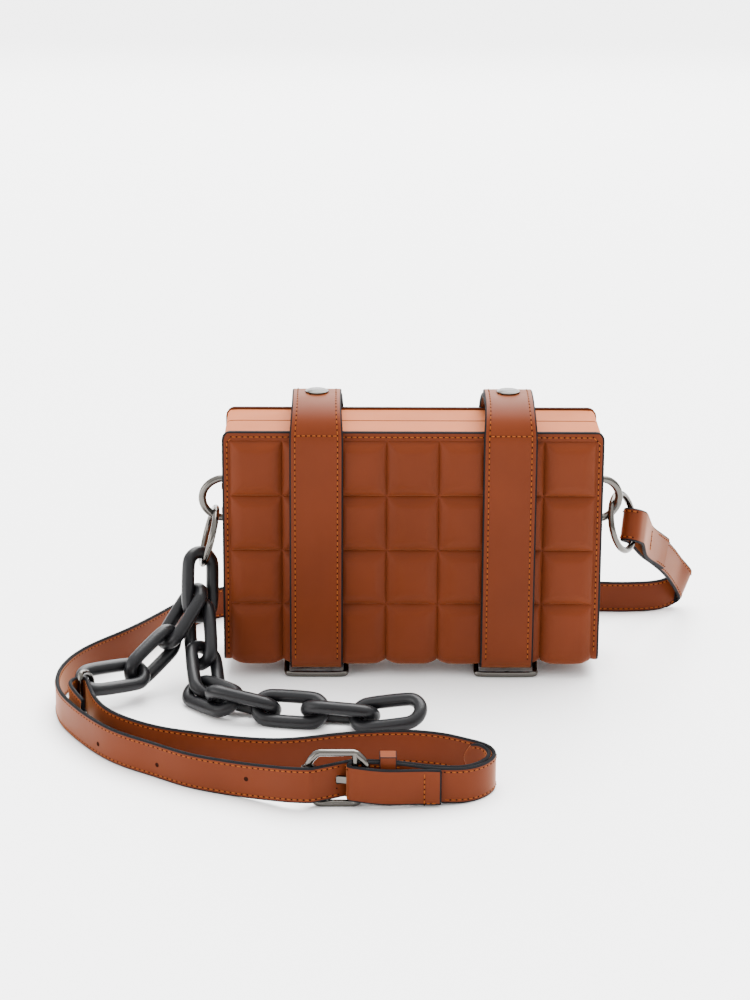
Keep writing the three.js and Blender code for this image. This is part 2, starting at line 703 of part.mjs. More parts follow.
const END_FOLD = [-170.6, -89.2];
const END_FLAP = [[-175.2, -92, 12.2], [-173.2, -99.5, 12], [-169.4, -108.5, 11.6], [-166.4, -114.5, 11.2]];
const SHORT_STRAP = [
  ...FLAP_END,
  ...around(BUCKLE_BAR_X, BUCKLE_Y, FOLD_R, [-90, -125, -160, 160, 125, 90], STRAP_AT_BUCKLE_Z),
  ...MAIN_RUN,
  ...BACK_RUN,
  ...around(END_FOLD[0], END_FOLD[1], 3.9, [20, 70, 120, 170], 12.3),
  ...END_FLAP,
];

// Long strap: flap and fold on the right ring, down to the floor, round behind the bag,
// left turn, front run, through the buckle and along inside the short strap to its tip
const RING_TIP = vec(120.85, 10.94, 72.48);
const RING_PULL = vec(0.489, 0.769, -0.41).normalize();
const RING_UP = vec(0.13, 0.39, 0.91);
const RING_SIDE = RING_PULL.clone().cross(RING_UP).normalize();
const atRing = (along, side) => {
  const p = RING_TIP.clone().addScaledVector(RING_PULL, along).addScaledVector(RING_SIDE, side);
  return [p.x, p.y, p.z, RING_UP.x, RING_UP.y, RING_UP.z];
};
const RING_FLAP = [
  [143.5, 51.4, 43.9, 0.22, 0.43, 0.88], [137.6, 40.8, 50.8, 0.22, 0.43, 0.88],
  [130.3, 24.4, 60.1, 0.21, 0.41, 0.89], atRing(5, 4.2), atRing(0, 4.5), atRing(-4, 4.3),
  atRing(-7.2, 2.6), atRing(-8.4, 0),
];
const RING_MAIN = [
  atRing(-7.2, -2.6), atRing(-4, -4.3), atRing(0, -4.5), atRing(4.5, -3.6),
  [127.7, 25.7, 60.1, 0.2, 0.42, 0.89], [135.4, 41.8, 50.8, 0.22, 0.43, 0.88],
  [143, 56.1, 41.3, 0.24, 0.47, 0.85], [148.8, 67.4, 33, 0.26, 0.5, 0.83],
  [153.7, 77.5, 24.5, 0.28, 0.5, 0.82], [158.2, 83.7, 17.4, 0.4, 0.42, 0.815],
  [159.9, 88.3, 13.4, 0.42, 0.4, 0.815], [157.5, 91.4, 10.7, 0.25, 0.35, 0.9],
  [152.1, 89.3, 9.8, 0.05, 0.15, 0.987], [145.6, 84.3, 9.1],
];
const FLOOR_RUN = [
  [139.5, 81.9, 8.95], [133.5, 80.6, 8.95], [122, 79.9, 8.95], [108, 80.5, 8.95], [80, 82.5, 8.95], [40, 84.5, 8.95],
  [0, 85.5, 8.95], [-40, 84.5, 8.95], [-75, 80.5, 8.95], [-100, 72.5, 8.95], [-116, 60, 8.95],
  [-128.5, 42.5, 8.95], [-141, 19, 8.95], [-154, -3, 8.95], [-167.5, -21.5, 8.95],
  [-177, -38.5, 8.95], [-182.6, -58, 8.95], [-183.6, -77, 8.95], [-180, -96, 8.95],
  [-173, -112, 8.95], [-164.3, -127.5, 8.95], [-152.8, -144.3, 8.95], [-141.5, -155.8, 8.95],
  [-128, -166, 8.95], [-111, -179.5, 8.95], [-97, -186.5, 9], [-83, -193, 9.4], [-70, -199.6, 10.6],
  [-60, -205, 11.9],
];
const PAST_ROLLER = [
  ...around(BUCKLE_LEFT_X, BUCKLE_Y, ROLLER_R + 0.4 + STRAP_THICKNESS / 2, [-95, -78, -64], STRAP_AT_BUCKLE_Z),
  ...around(BUCKLE_BAR_X, BUCKLE_Y, FOLD_R + LAYER + 0.2, [118, 104, 90], STRAP_AT_BUCKLE_Z),
];
const TAIL_RUN = besideRun(MAIN_RUN, LAYER + 0.15, 0, 11);
const LONG_STRAP = [...RING_FLAP, ...RING_MAIN, ...FLOOR_RUN, ...PAST_ROLLER, ...TAIL_RUN];

// Prong: flat bar with an eye round the centre bar, resting past the roller
function prongSolid(grow) {
  const height = PRONG_WIDTH + grow * 2;
  const eyeR = BUCKLE_WIRE / 2 + CLEARANCE;
  const bar = Manifold.cube([23.5, 1.3 + grow * 2, height], false);
  const placed = bar
    .translate([-23.5, -0.65 - grow, PRONG_Z - height / 2])
    .rotate([0, 0, -12])
    .translate([BUCKLE_BAR_X - 1.2, BUCKLE_Y + 0.2, 0]);
  const eye = cylinderZ(eyeR + 1.1 + grow, PRONG_Z - height / 2, PRONG_Z + height / 2, BUCKLE_BAR_X, BUCKLE_Y, 16);
  const hole = cylinderZ(eyeR, PRONG_Z - height, PRONG_Z + height, BUCKLE_BAR_X, BUCKLE_Y, 16);
  return grow > 0 ? placed.add(eye) : placed.add(eye).subtract(hole);
}

function buckleFrame() {
  const low = BUCKLE_WIRE / 2;
  const high = BUCKLE_HEIGHT - BUCKLE_WIRE / 2;
  const corners = [
    [BUCKLE_LEFT_X, 7], [BUCKLE_LEFT_X, high - 5.5], [BUCKLE_LEFT_X + 1.2, high - 3.4],
    [BUCKLE_LEFT_X + 3.6, high - 0.7], [BUCKLE_LEFT_X + 5.4, high],
    [BUCKLE_RIGHT_X - 6, high], [BUCKLE_RIGHT_X - 4.2, high - 0.7], [BUCKLE_RIGHT_X - 1.4, high - 3.6],
    [BUCKLE_RIGHT_X, high - 6], [BUCKLE_RIGHT_X, low + 6], [BUCKLE_RIGHT_X - 1.4, low + 3.6],
    [BUCKLE_RIGHT_X - 4.2, low + 0.7], [BUCKLE_RIGHT_X - 6, low], [BUCKLE_LEFT_X + 5.4, low],
    [BUCKLE_LEFT_X + 3.6, low + 0.7], [BUCKLE_LEFT_X + 1.2, low + 3.4],
  ];
  const wire = closedWire(corners.map(([x, z]) => vec(x, BUCKLE_Y, z)), BUCKLE_WIRE / 2, 8, Math.PI / 8);
  const centreBar = cylinderZ(BUCKLE_WIRE / 2, low, high, BUCKLE_BAR_X, BUCKLE_Y, 10);
  return toSolid(wire).add(centreBar);
}

const longStrap = toSolid(strapRun(LONG_STRAP, { per: 2, tip: true }));
const shortStrap = toSolid(strapRun(SHORT_STRAP, { per: 2 }));
addPart('shoulder_strap_long', toGeometry(longStrap.subtract(prongSolid(0.45))), TAN, 0.42, 0);
addPart('shoulder_strap_short', toGeometry(shortStrap.subtract(prongSolid(0.45))), TAN, 0.42, 0);
addPart('buckle_frame', toGeometry(buckleFrame()), GUNMETAL, 0.3, 1);
addPart('buckle_prong', toGeometry(prongSolid(0)), GUNMETAL, 0.3, 1);

// Roller: tube turning on the left bar of the frame
const rollerZ0 = 8.4;
const rollerZ1 = 20.4;
const roller = cylinderZ(ROLLER_R, rollerZ0, rollerZ1, BUCKLE_LEFT_X, BUCKLE_Y, 16);
const rollerBore = cylinderZ(ROLLER_R - 1.3, rollerZ0 - 1, rollerZ1 + 1, BUCKLE_LEFT_X, BUCKLE_Y, 16);
addPart('buckle_roller', toGeometry(roller.subtract(rollerBore)), GUNMETAL, 0.3, 1);

// Keeper: leather loop round the main run and the tail
const KEEPER = { x0: -18.6, x1: -10.6, z0: 0.5, z1: 24.6 };
const keeperY0 = MAIN_Y - STRAP_THICKNESS / 2 - 0.3;
const keeperY1 = TAIL_Y + STRAP_THICKNESS / 2 + 0.35;
const keeperOuter = Manifold.cube(
  [KEEPER.x1 - KEEPER.x0, keeperY1 - keeperY0 + 2 * KEEPER_WALL, KEEPER.z1 - KEEPER.z0],
  false,
).translate([KEEPER.x0, keeperY0 - KEEPER_WALL, KEEPER.z0]);
const keeperInner = Manifold.cube(
  [KEEPER.x1 - KEEPER.x0 + 2, keeperY1 - keeperY0, KEEPER.z1 - KEEPER.z0 - 2 * KEEPER_WALL],
  false,
).translate([KEEPER.x0 - 1, keeperY0, KEEPER.z0 + KEEPER_WALL]);
addPart('strap_keeper', toGeometry(keeperOuter.subtract(keeperInner)), TAN, 0.42, 0);

// End ring: D shaped wire, straight bar in the end fold, bow inside the last link
function endRing() {
  const half = END_RING_HALF;
  const direction = THREE.MathUtils.degToRad(END_RING_TURN);
  const bow = arcPoints(0, 0, 1, -78, 78, 12).map(([u, v]) => [u * END_RING_REACH, v * half]);
  const flat = [[0, half - 0.3], [0, -half + 0.3], ...bow];
  return closedWire(
    flat.map(([u, v]) => vec(
      END_FOLD[0] + u * Math.cos(direction),
      END_FOLD[1] + u * Math.sin(direction),
      END_RING_Z + v,
    )),
    END_RING_WIRE / 2,
    8,
  );
}
addPart('end_ring', endRing(), GUNMETAL, 0.3, 1);

// Whole object on the floor, centred
const box = new THREE.Box3().setFromObject(object);
const shift = new THREE.Matrix4().makeTranslation(
  -(box.min.x + box.max.x) / 2,
  -(box.min.y + box.max.y) / 2,
  -box.min.z,
);
for (const mesh of object.children) mesh.geometry.applyMatrix4(shift);

export default object;
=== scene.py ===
"""Looks of the box bag: quilted leather wrap, frames, straps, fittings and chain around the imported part."""

import math

import bmesh
import bpy
import numpy as np
from mathutils import Matrix, Vector
from mathutils.bvhtree import BVHTree


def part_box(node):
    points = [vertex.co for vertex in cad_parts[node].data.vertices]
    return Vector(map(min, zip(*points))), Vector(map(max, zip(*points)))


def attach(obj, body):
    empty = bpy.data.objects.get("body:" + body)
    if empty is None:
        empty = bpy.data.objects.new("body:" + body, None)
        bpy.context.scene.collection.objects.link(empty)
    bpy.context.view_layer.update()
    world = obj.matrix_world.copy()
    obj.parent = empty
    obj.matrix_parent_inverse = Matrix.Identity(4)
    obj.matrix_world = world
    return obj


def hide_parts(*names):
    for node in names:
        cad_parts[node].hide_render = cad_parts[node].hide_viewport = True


bl_info = {
    "name": "Box bag",
    "version": (1, 0, 0),
    "blender": (4, 5, 0),
    "location": "3D View > Sidebar > Box bag",
    "description": "Builds the looks of a quilted box bag around its packed part",
    "category": "Add Mesh",
}

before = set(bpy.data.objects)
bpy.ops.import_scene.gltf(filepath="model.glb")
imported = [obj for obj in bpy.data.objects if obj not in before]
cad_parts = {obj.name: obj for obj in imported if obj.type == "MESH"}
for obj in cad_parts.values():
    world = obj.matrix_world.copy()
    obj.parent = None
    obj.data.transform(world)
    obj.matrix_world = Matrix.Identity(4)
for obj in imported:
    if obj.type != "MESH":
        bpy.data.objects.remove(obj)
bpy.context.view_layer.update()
MM = 0.001
WRAP_LOW, WRAP_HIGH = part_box("outer_wrap")
MIDDLE_X = (WRAP_LOW.x + WRAP_HIGH.x) / 2
SIDES = ("left", "right")


# Properties


class WrapSizes(bpy.types.PropertyGroup):
    """Sizes and colours of the quilted wrap."""

    tile_width: bpy.props.FloatProperty(
        name="Tile width", description="Distance between the seams across", default=27.4 * MM, unit="LENGTH"
    )
    tile_height: bpy.props.FloatProperty(
        name="Tile height", description="Distance between the seams down", default=29.9 * MM, unit="LENGTH"
    )
    tile_rise: bpy.props.FloatProperty(
        name="Tile rise", description="How far a tile stands out of its seam", default=3.4 * MM, unit="LENGTH"
    )
    top_margin: bpy.props.FloatProperty(
        name="Top margin", description="Plain strip above the first row", default=4.8 * MM, unit="LENGTH"
    )
    thickness: bpy.props.FloatProperty(
        name="Thickness", description="Thickness of the wrap", default=2.4 * MM, unit="LENGTH"
    )
    bend: bpy.props.FloatProperty(
        name="Bend", description="Radius of the bends along the bottom", default=4.5 * MM, unit="LENGTH"
    )
    colour: bpy.props.FloatVectorProperty(
        name="Leather", description="Colour of the leather", default=(0.086, 0.0176, 0.0058), subtype="COLOR"
    )
    # The frames are set much lighter than the wrap: painted light from above on the bag's top face
    lit_frame_colour: bpy.props.FloatVectorProperty(
        name="Lit frames", description="Colour of the frames, set lighter as painted light from above", default=(0.3, 0.088, 0.034), subtype="COLOR"
    )
    paint: bpy.props.FloatVectorProperty(
        name="Edge paint",
        description="Colour of the painted edges",
        default=(0.006, 0.006, 0.007),
        subtype="COLOR",
    )


class StitchSizes(bpy.types.PropertyGroup):
    """Sizes and colour of the stitches."""

    pitch: bpy.props.FloatProperty(
        name="Pitch", description="Distance from stitch to stitch", default=3.0 * MM, unit="LENGTH"
    )
    length: bpy.props.FloatProperty(
        name="Length", description="Length of one stitch", default=2.3 * MM, unit="LENGTH"
    )
    thickness: bpy.props.FloatProperty(
        name="Thread", description="Thickness of the thread", default=0.52 * MM, unit="LENGTH"
    )
    colour: bpy.props.FloatVectorProperty(
        name="Thread colour", description="Colour of the thread", default=(0.21, 0.05, 0.004), subtype="COLOR"
    )


class FittingLooks(bpy.types.PropertyGroup):
    """Colours of the metal fittings and of the chain."""

    metal: bpy.props.FloatVectorProperty(
        name="Metal", description="Colour of the fittings", default=(0.09, 0.084, 0.076), subtype="COLOR"
    )
    resin: bpy.props.FloatVectorProperty(
        name="Chain", description="Colour of the chain links", default=(0.004, 0.004, 0.0048), subtype="COLOR"
    )


class StageSizes(bpy.types.PropertyGroup):
    """Floor, lights and camera."""

    floor: bpy.props.FloatVectorProperty(
        name="Floor", description="Colour of the floor", default=(0.86, 0.86, 0.86), subtype="COLOR"
    )
    lens: bpy.props.FloatProperty(name="Lens", description="Focal length in millimetres", default=95.87)
    pitch: bpy.props.FloatProperty(
        name="Pitch", description="How far the camera looks down", default=0.2911, subtype="ANGLE"
    )
    yaw: bpy.props.FloatProperty(
        name="Yaw", description="Turn of the camera about the upright", default=-0.0092, subtype="ANGLE"
    )
    roll: bpy.props.FloatProperty(
        name="Roll", description="Turn of the camera about its own line", default=-0.0055, subtype="ANGLE"
    )
    key_power: bpy.props.FloatProperty(
        name="High light", description="Strength of the soft light from above", default=12.0
    )
    back_power: bpy.props.FloatProperty(
        name="Lit panels", description="Power of the lit panel behind and of the left one", default=50.0
    )
    world: bpy.props.FloatProperty(name="Surroundings", description="Strength of the even light", default=2.3)


# Shader maths


class Sock:
    """A shader socket that arithmetic can be written on."""

    def __init__(self, shader, socket):
        self.shader, self.socket = shader, socket

    def _math(self, operation, a, b):
        return self.shader.node("ShaderNodeMath", {"operation": operation}, [a, b])

    def __add__(self, other):
        return self._math("ADD", self, other)

    __radd__ = __add__

    def __sub__(self, other):
        return self._math("SUBTRACT", self, other)

    def __rsub__(self, other):
        return self._math("SUBTRACT", other, self)

    def __mul__(self, other):
        return self._math("MULTIPLY", self, other)

    __rmul__ = __mul__

    def clamp(self, low, high):
        """Stretches what lies between low and high to 0 to 1 and cuts the rest."""
        values = {"Value": self, "From Min": low, "From Max": high}
        return self.shader.node("ShaderNodeMapRange", {"clamp": True}, values)


class Shader:
    """A material whose nodes are made by one method."""

    def __init__(self, name):
        self.material = bpy.data.materials.new(name)
        self.material.use_nodes = True
        self.nodes = self.material.node_tree.nodes
        self.links = self.material.node_tree.links
        self.surface = self.nodes["Principled BSDF"]

    @classmethod
    def of(cls, tree):
        """The same writing for a tree that exists."""
        made = cls.__new__(cls)
        made.nodes, made.links = tree.nodes, tree.links
        return made

    def node(self, kind, settings=None, values=(), output=0):
        """Adds a node, sets its properties, fills or links its inputs and hands back one output."""
        made = self.nodes.new(kind)
        for key, value in (settings or {}).items():
            setattr(made, key, value)
        pairs = values.items() if isinstance(values, dict) else enumerate(values)
        for key, value in pairs:
            self.fill(made.inputs[key], value)
        return Sock(self, made.outputs[output])

    def fill(self, entry, value):
        """Links a socket to an input, or sets the input to a plain value."""
        if isinstance(value, Sock):
            self.links.new(value.socket, entry)
        else:
            entry.default_value = value

    def place(self):
        return self.node("ShaderNodeTexCoord", output="Object")

    def noise(self, scale, detail=2.0, rough=0.5):
        values = {"Vector": self.place(), "Scale": scale, "Detail": detail, "Roughness": rough}
        return self.node("ShaderNodeTexNoise", None, values)

    def blend(self, factor, a, b):
        """Mixes two colours."""
        return self.node("ShaderNodeMix", {"data_type": "RGBA"}, {0: factor, 6: a, 7: b}, output=2)

    def bump(self, height, strength, distance):
        values = {"Height": height, "Strength": strength, "Distance": distance}
        return self.node("ShaderNodeBump", None, values)

    def finish(self, **sockets):
        """Fills inputs of the surface by their names in small letters."""
        for key, value in sockets.items():
            name = key.replace("_", " ").title().replace("Ior", "IOR")
            self.fill(self.surface.inputs[name], value)
        return self.material


def rgba(colour, factor=1.0):
    """A colour made lighter or darker, with its fourth channel."""
    return (*(min(1.0, channel * factor) for channel in colour), 1.0)


SHEEN_TINT = (1.0, 0.4, 0.16, 1.0)


def leather(name, colour, rough=0.36, level=0.045, sheen=0.3):
    """Smooth leather with a faint grain and a soft sheen, its tone drifting a little."""
    shader = Shader(name)
    tone = shader.noise(18.0, 3.0).clamp(0.3, 0.7)
    base = shader.blend(tone, rgba(colour, 0.9), rgba(colour, 1.1))
    grain = shader.noise(900.0, 3.0, 0.6)
    values = {"Vector": shader.place(), "Scale": 1100.0}
    pores = shader.node("ShaderNodeTexVoronoi", {"feature": "DISTANCE_TO_EDGE"}, values)
    relief = grain * 0.6 + pores * 0.8
    return shader.finish(
        base_color=base,
        roughness=shader.noise(60.0).clamp(0.2, 0.8) * 0.1 + rough,
        normal=shader.bump(relief, 0.1, 0.0002),
        specular_ior_level=level,
        sheen_weight=sheen,
        sheen_roughness=0.4,
        sheen_tint=SHEEN_TINT,
    )


def painted_edge(name, colour):
    """Matt paint on the cut edges."""
    shader = Shader(name)
    relief = shader.bump(shader.noise(500.0), 0.15, 0.0002)
    return shader.finish(base_color=rgba(colour), roughness=0.6, normal=relief, specular_ior_level=0.05)


def thread(name, colour):
    """Thread, lighter and darker along its twist."""
    shader = Shader(name)
    base = shader.blend(shader.noise(2600.0, 1.0), rgba(colour, 0.75), rgba(colour, 1.2))
    return shader.finish(base_color=base, roughness=0.6, specular_ior_level=0.1)


def metal(name, colour, rough=0.14):
    """Polished metal with a slight haze."""
    shader = Shader(name)
    haze = shader.noise(240.0).clamp(0.2, 0.8) * 0.08 + rough
    return shader.finish(base_color=rgba(colour), metallic=1.0, roughness=haze)


def resin(name, colour):
    """Half-matt resin with a fine relief."""
    shader = Shader(name)
    return shader.finish(
        base_color=rgba(colour),
        roughness=shader.noise(90.0).clamp(0.2, 0.8) * 0.12 + 0.3,
        normal=shader.bump(shader.noise(1300.0), 0.3, 0.0003),
        specular_ior_level=0.22,
    )


def plain(name, colour, rough=0.8, level=0.0):
    """One even colour."""
    return Shader(name).finish(base_color=rgba(colour), roughness=rough, specular_ior_level=level)


def finish_of(name):
    """The shared finishes, each made once."""
    if name in bpy.data.materials:
        return bpy.data.materials[name]
    scene = bpy.context.scene
    wrap, fittings = scene.wrap_sizes, scene.fitting_looks
    # A darker tan on the frames' rounded edges: painted shade in the groove where the two frames meet, which
    # darkens their other rounded edges too
    darker = [channel * 0.3 for channel in wrap.lit_frame_colour]
    makers = {
        "tan leather": lambda: leather(name, wrap.colour),
        # The frames' leather is made far lighter than the wrap's tan: painted light from above on the bag's
        # top face
        "lit frame leather": lambda: leather(name, wrap.lit_frame_colour, 0.45, 0.012, 0.1),
        "frame edge shade": lambda: leather(name, darker, 0.5, 0.02),
        "edge paint": lambda: painted_edge(name, wrap.paint),
        "thread": lambda: thread(name, scene.stitch_sizes.colour),
        # Near-black bodies in the needle and strap holes: painted shade
        "painted hole shade": lambda: plain(name, (0.014, 0.005, 0.003)),
        "dark nickel": lambda: metal(name, fittings.metal),
        "snap metal": lambda: metal(name, [channel * 0.45 for channel in fittings.metal], 0.2),
        "chain resin": lambda: resin(name, fittings.resin),
    }
    return makers[name]()


# Meshes

# Corners nearer than this are joined, and flat parts within this angle in degrees are made one face
JOIN_DISTANCE = 0.02 * MM
FLAT_LIMIT = 0.6

# Hard edges start at these angles in degrees
LEATHER_ANGLE = 38
FITTING_ANGLE = 50

# Roundings of the strips and of the small leather parts, and how far a rounding may stray
RUN_ROUNDING = 0.85 * MM
SMALL_ROUNDING = 0.4 * MM
ROUNDING_STEPS = 3
STRAY = 0.45 * MM

# A wire is grown by this share of its radius, which the smoothing takes away again
WIRE_GROWTH = 0.1

# A face whose normal lies along the strip's edge axis by more than this is part of the cut edge
CUT_SHARE = 0.7
STRAP_CUT_SHARE = 0.62


def new_piece(name, bm, finishes, nodes=()):
    """Makes a mesh object from bm, with its finishes, riding on the bag."""
    mesh = bpy.data.meshes.new(name)
    bm.to_mesh(mesh)
    bm.free()
    for finish in finishes:
        mesh.materials.append(finish)
    piece = add_linked(name, mesh)
    if nodes:
        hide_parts(*nodes)
    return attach(piece, "root")


def merged(node):
    """The node's own shape with its corners joined and its small corrections, as a bmesh."""
    bm = bmesh.new()
    bm.from_mesh(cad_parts[node].data)
    bmesh.ops.remove_doubles(bm, verts=bm.verts, dist=JOIN_DISTANCE)
    for start, correct in CORRECTIONS:
        if node.startswith(start):
            for vert in bm.verts:
                vert.co = correct(vert.co)
    return bm


# Corrections of the solids, in the order of the functions below
CREST_SHARE = 0.91
CAP_DROP = 1.5 * MM
CAP_HEIGHT = 2.6 * MM
CAP_FLATTENING = 0.45
RING_BAR = 100.75 * MM
SHOWN_BAR = 98.4 * MM
RING_REACH = 1.27
RING_TALLNESS = 1.2
RING_LIFT = 3.4 * MM
TAB_SHIFT = 2.6 * MM
FRAME_CORNER = 6 * MM
SHOWN_CORNER = 3 * MM
LEAST_CORNER = 0.3 * MM
FRAME_SAG = 2.1 * MM


def sunk_crest(place):
    """Lowers the arch of a closure strap a little."""
    over = place.z - WRAP_HIGH.z
    return place if over <= 0 else Vector((place.x, place.y, WRAP_HIGH.z + over * CREST_SHARE))


def flat_cap(place):
    """Flattens a snap's cap down onto the lowered crest."""
    _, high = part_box("snap_cap_left")
    over = max(0.0, place.z - high.z + CAP_HEIGHT)
    return Vector((place.x, place.y, place.z - CAP_DROP - over * CAP_FLATTENING))


def tall_ring(place):
    """Makes a side ring taller, and higher on the wall."""
    low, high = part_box("side_ring_left")
    middle = (low.z + high.z) / 2
    side = math.copysign(1, place.x - MIDDLE_X)
    out = SHOWN_BAR + (abs(place.x - MIDDLE_X) - RING_BAR) * RING_REACH
    return Vector((MIDDLE_X + side * out, place.y, middle + RING_LIFT + (place.z - middle) * RING_TALLNESS))


def pushed_in(place):
    """Sets a side tab closer to the wall, behind the front's edge."""
    side = math.copysign(1, place.x - MIDDLE_X)
    raised = tall_ring(place)
    return Vector((place.x - side * TAB_SHIFT, raised.y, raised.z))


def tight_corner(place):
    """Draws the corners of a frame's section to a smaller radius and lowers its bottom."""
    low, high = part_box("front_frame")
    x, z = place.x - MIDDLE_X, place.z - (low.z + high.z) / 2
    half, tall = (high.x - low.x) / 2, (high.z - low.z) / 2
    u, v = abs(x) - half + FRAME_CORNER, abs(z) - tall + FRAME_CORNER
    down = FRAME_SAG if z < 0 else 0.0
    if u < 0 or v < 0:
        return Vector((place.x, place.y, place.z - down))
    reach = max(LEAST_CORNER, math.hypot(u, v) - FRAME_CORNER + SHOWN_CORNER)
    turn = math.atan2(v, u)
    x = math.copysign(half - SHOWN_CORNER + reach * math.cos(turn), x)
    z = math.copysign(tall - SHOWN_CORNER + reach * math.sin(turn), z)
    return Vector((MIDDLE_X + x, place.y, z + (low.z + high.z) / 2 - down))


CORRECTIONS = (
    ("closure_strap", sunk_crest),
    ("snap_cap", flat_cap),
    ("side_ring", tall_ring),
    ("side_tab", pushed_in),
    ("front_frame", tight_corner),
    ("back_frame", tight_corner),
)


def shade_soft(bm, angle):
    """Shades all faces soft, with hard edges where they meet at more than the angle in degrees."""
    for face in bm.faces:
        face.smooth = True
    for edge in bm.edges:
        edge.smooth = edge.calc_face_angle(0) < math.radians(angle)


def add_linked(name, mesh):
    """A new object for the mesh, in the scene."""
    made = bpy.data.objects.new(name, mesh)
    bpy.context.scene.collection.objects.link(made)
    return made


def baked_mesh(piece):
    """The object's mesh with its modifiers, as a plain one."""
    return bpy.data.meshes.new_from_object(piece.evaluated_get(bpy.context.evaluated_depsgraph_get()))


def bevel(piece, width, segments=2, paint=False):
    """Rounds the corners of a piece, and gives the rounding its second finish when it is painted."""
    modifier = piece.modifiers.new("rounded corners", "BEVEL")
    modifier.width = width
    modifier.segments = segments
    modifier.limit_method = "ANGLE"
    modifier.angle_limit = math.radians(40)
    modifier.use_clamp_overlap = False
    modifier.loop_slide = False
    if paint:
        modifier.material = 1
    return modifier


def join_quads(bm, shape_angle):
    """Joins triangles to quads where they make good ones."""
    bmesh.ops.join_triangles(
        bm,
        faces=bm.faces,
        angle_face_threshold=math.radians(60),
        angle_shape_threshold=math.radians(shape_angle),
    )
    bm.normal_update()


def soften(piece, name):
    """Smooths a piece by two steps of subdivision."""
    modifier = piece.modifiers.new(name, "SUBSURF")
    modifier.levels = modifier.render_levels = 2


def leather_run(node, edge_axis, edge_share):
    """A strip of leather with its bends smoothed along its length, its cut edges marked."""
    bm = merged(node)
    join_quads(bm, 80)
    axis = Vector(edge_axis)
    for label in ("bevel_weight_edge", "crease_edge"):
        bm.edges.layers.float.new(label)
    bevels = bm.edges.layers.float["bevel_weight_edge"]
    creases = bm.edges.layers.float["crease_edge"]
    for face in bm.faces:
        face.material_index = int(abs(face.normal.dot(axis)) > edge_share or is_end(face))
    sharp = {edge for edge in bm.edges if is_border(edge)}
    for edge in sharp:
        edge[creases] = 1.0
    for edge in long_borders(sharp):
        edge[bevels] = 1.0
    mesh = bpy.data.meshes.new(f"{node}_run")
    bm.to_mesh(mesh)
    bm.free()
    holder = add_linked(f"{node}_run", mesh)
    soften(holder, "smooth bends")
    baked = baked_mesh(holder)
    bpy.data.objects.remove(holder)
    run = bmesh.new()
    run.from_mesh(baked)
    run.normal_update()
    return run


# Angles in degrees and sizes that tell the borders of a strip from its bends
FLAT_ANGLE = 1
BORDER_ANGLE = 50
MOST_END_FACES = 6
LONG_BORDER = 25 * MM


def is_end(face):
    """Whether this is part of a strip's cut end, a small flat with sharp edges all round."""
    group = [face]
    for part in group:
        for edge in part.edges:
            angle = edge.calc_face_angle(0)
            if angle < math.radians(FLAT_ANGLE):
                group += [other for other in edge.link_faces if other not in group]
            elif angle < math.radians(BORDER_ANGLE):
                return False
        if len(group) > MOST_END_FACES:
            return False
    return True


def is_border(edge):
    """Whether a cut edge of the leather meets a broad face or another cut edge here."""
    cut = [face.material_index for face in edge.link_faces]
    return sum(cut) == 1 or (sum(cut) == 2 and edge.calc_face_angle(0) > math.radians(BORDER_ANGLE))


def long_borders(sharp):
    """The borders that go round the whole strip, without those of its slots."""
    left, found = set(sharp), []
    while left:
        group = [left.pop()]
        for edge in group:
            for vert in edge.verts:
                for other in vert.link_edges:
                    if other in left:
                        left.remove(other)
                        group.append(other)
        places = [vert.co for edge in group for vert in edge.verts]
        reach = max((place - places[0]).length for place in places)
        if reach > LONG_BORDER:
            found += group
    return found


def leather_piece(node, edge_axis, edge_share, run=True):
    """A leather part of the bag: its CAD shape with rounded corners and painted edges."""
    if run:
        bm = leather_run(node, edge_axis, edge_share)
    else:
        bm = plain_form(node)
        bm.normal_update()
        for face in bm.faces:
            face.material_index = int(abs(face.normal.dot(Vector(edge_axis))) > edge_share)
    shade_soft(bm, LEATHER_ANGLE)
    form = BVHTree.FromBMesh(bm)
    finishes = [finish_of("tan leather"), finish_of("edge paint")]
    piece = new_piece(f"{node}_looks", bm, finishes, [node])
    if run:
        bevel(piece, RUN_ROUNDING, ROUNDING_STEPS, paint=True).limit_method = "WEIGHT"
        keep_in(piece, form)
    else:
        bevel(piece, SMALL_ROUNDING, ROUNDING_STEPS, paint=node == "strap_keeper")


def plain_form(node):
    """The node's own shape without its needless edges."""
    bm = merged(node)
    bmesh.ops.dissolve_limit(bm, angle_limit=math.radians(FLAT_LIMIT), verts=bm.verts, edges=bm.edges)
    return bm


def keep_in(piece, form):
    """Bakes a strip's rounded corners and lays what strays in a tight fold back on the strip."""
    baked = baked_mesh(piece)
    for vert in baked.vertices:
        place, _, _, away = form.find_nearest(vert.co)
        if away > STRAY:
            vert.co = place
    piece.modifiers.clear()
    piece.data = baked


def wire_piece(node, finish, radius, more=0.0):
    """A round wire fitting: the CAD wire grown a little and smoothed."""
    bm = merged(node)
    join_quads(bm, 70)
    moves = [(vert, vert.normal * (radius * WIRE_GROWTH + more)) for vert in bm.verts]
    for vert, move in moves:
        vert.co += move
    for face in bm.faces:
        face.smooth = True
    soften(new_piece(f"{node}_looks", bm, [finish_of(finish)], [node]), "round wire")


# Stitches

# Dark bodies between the stitches, painted shade of the needle holes
HOLE_LENGTH = 1.0 * MM
HOLE_WIDTH = 0.72 * MM

# Rows across a strip: how many places are looked up, and how far they stand off the leather
CROSS_SAMPLES = 9
CROSS_LIFT = 0.1 * MM

# The shortest step of a row that is divided by, in metres
SHORTEST = 1e-9

# How far the next border may turn away, as cosines
SAME_INWARD = 0.6
SAME_OUT = 0.3


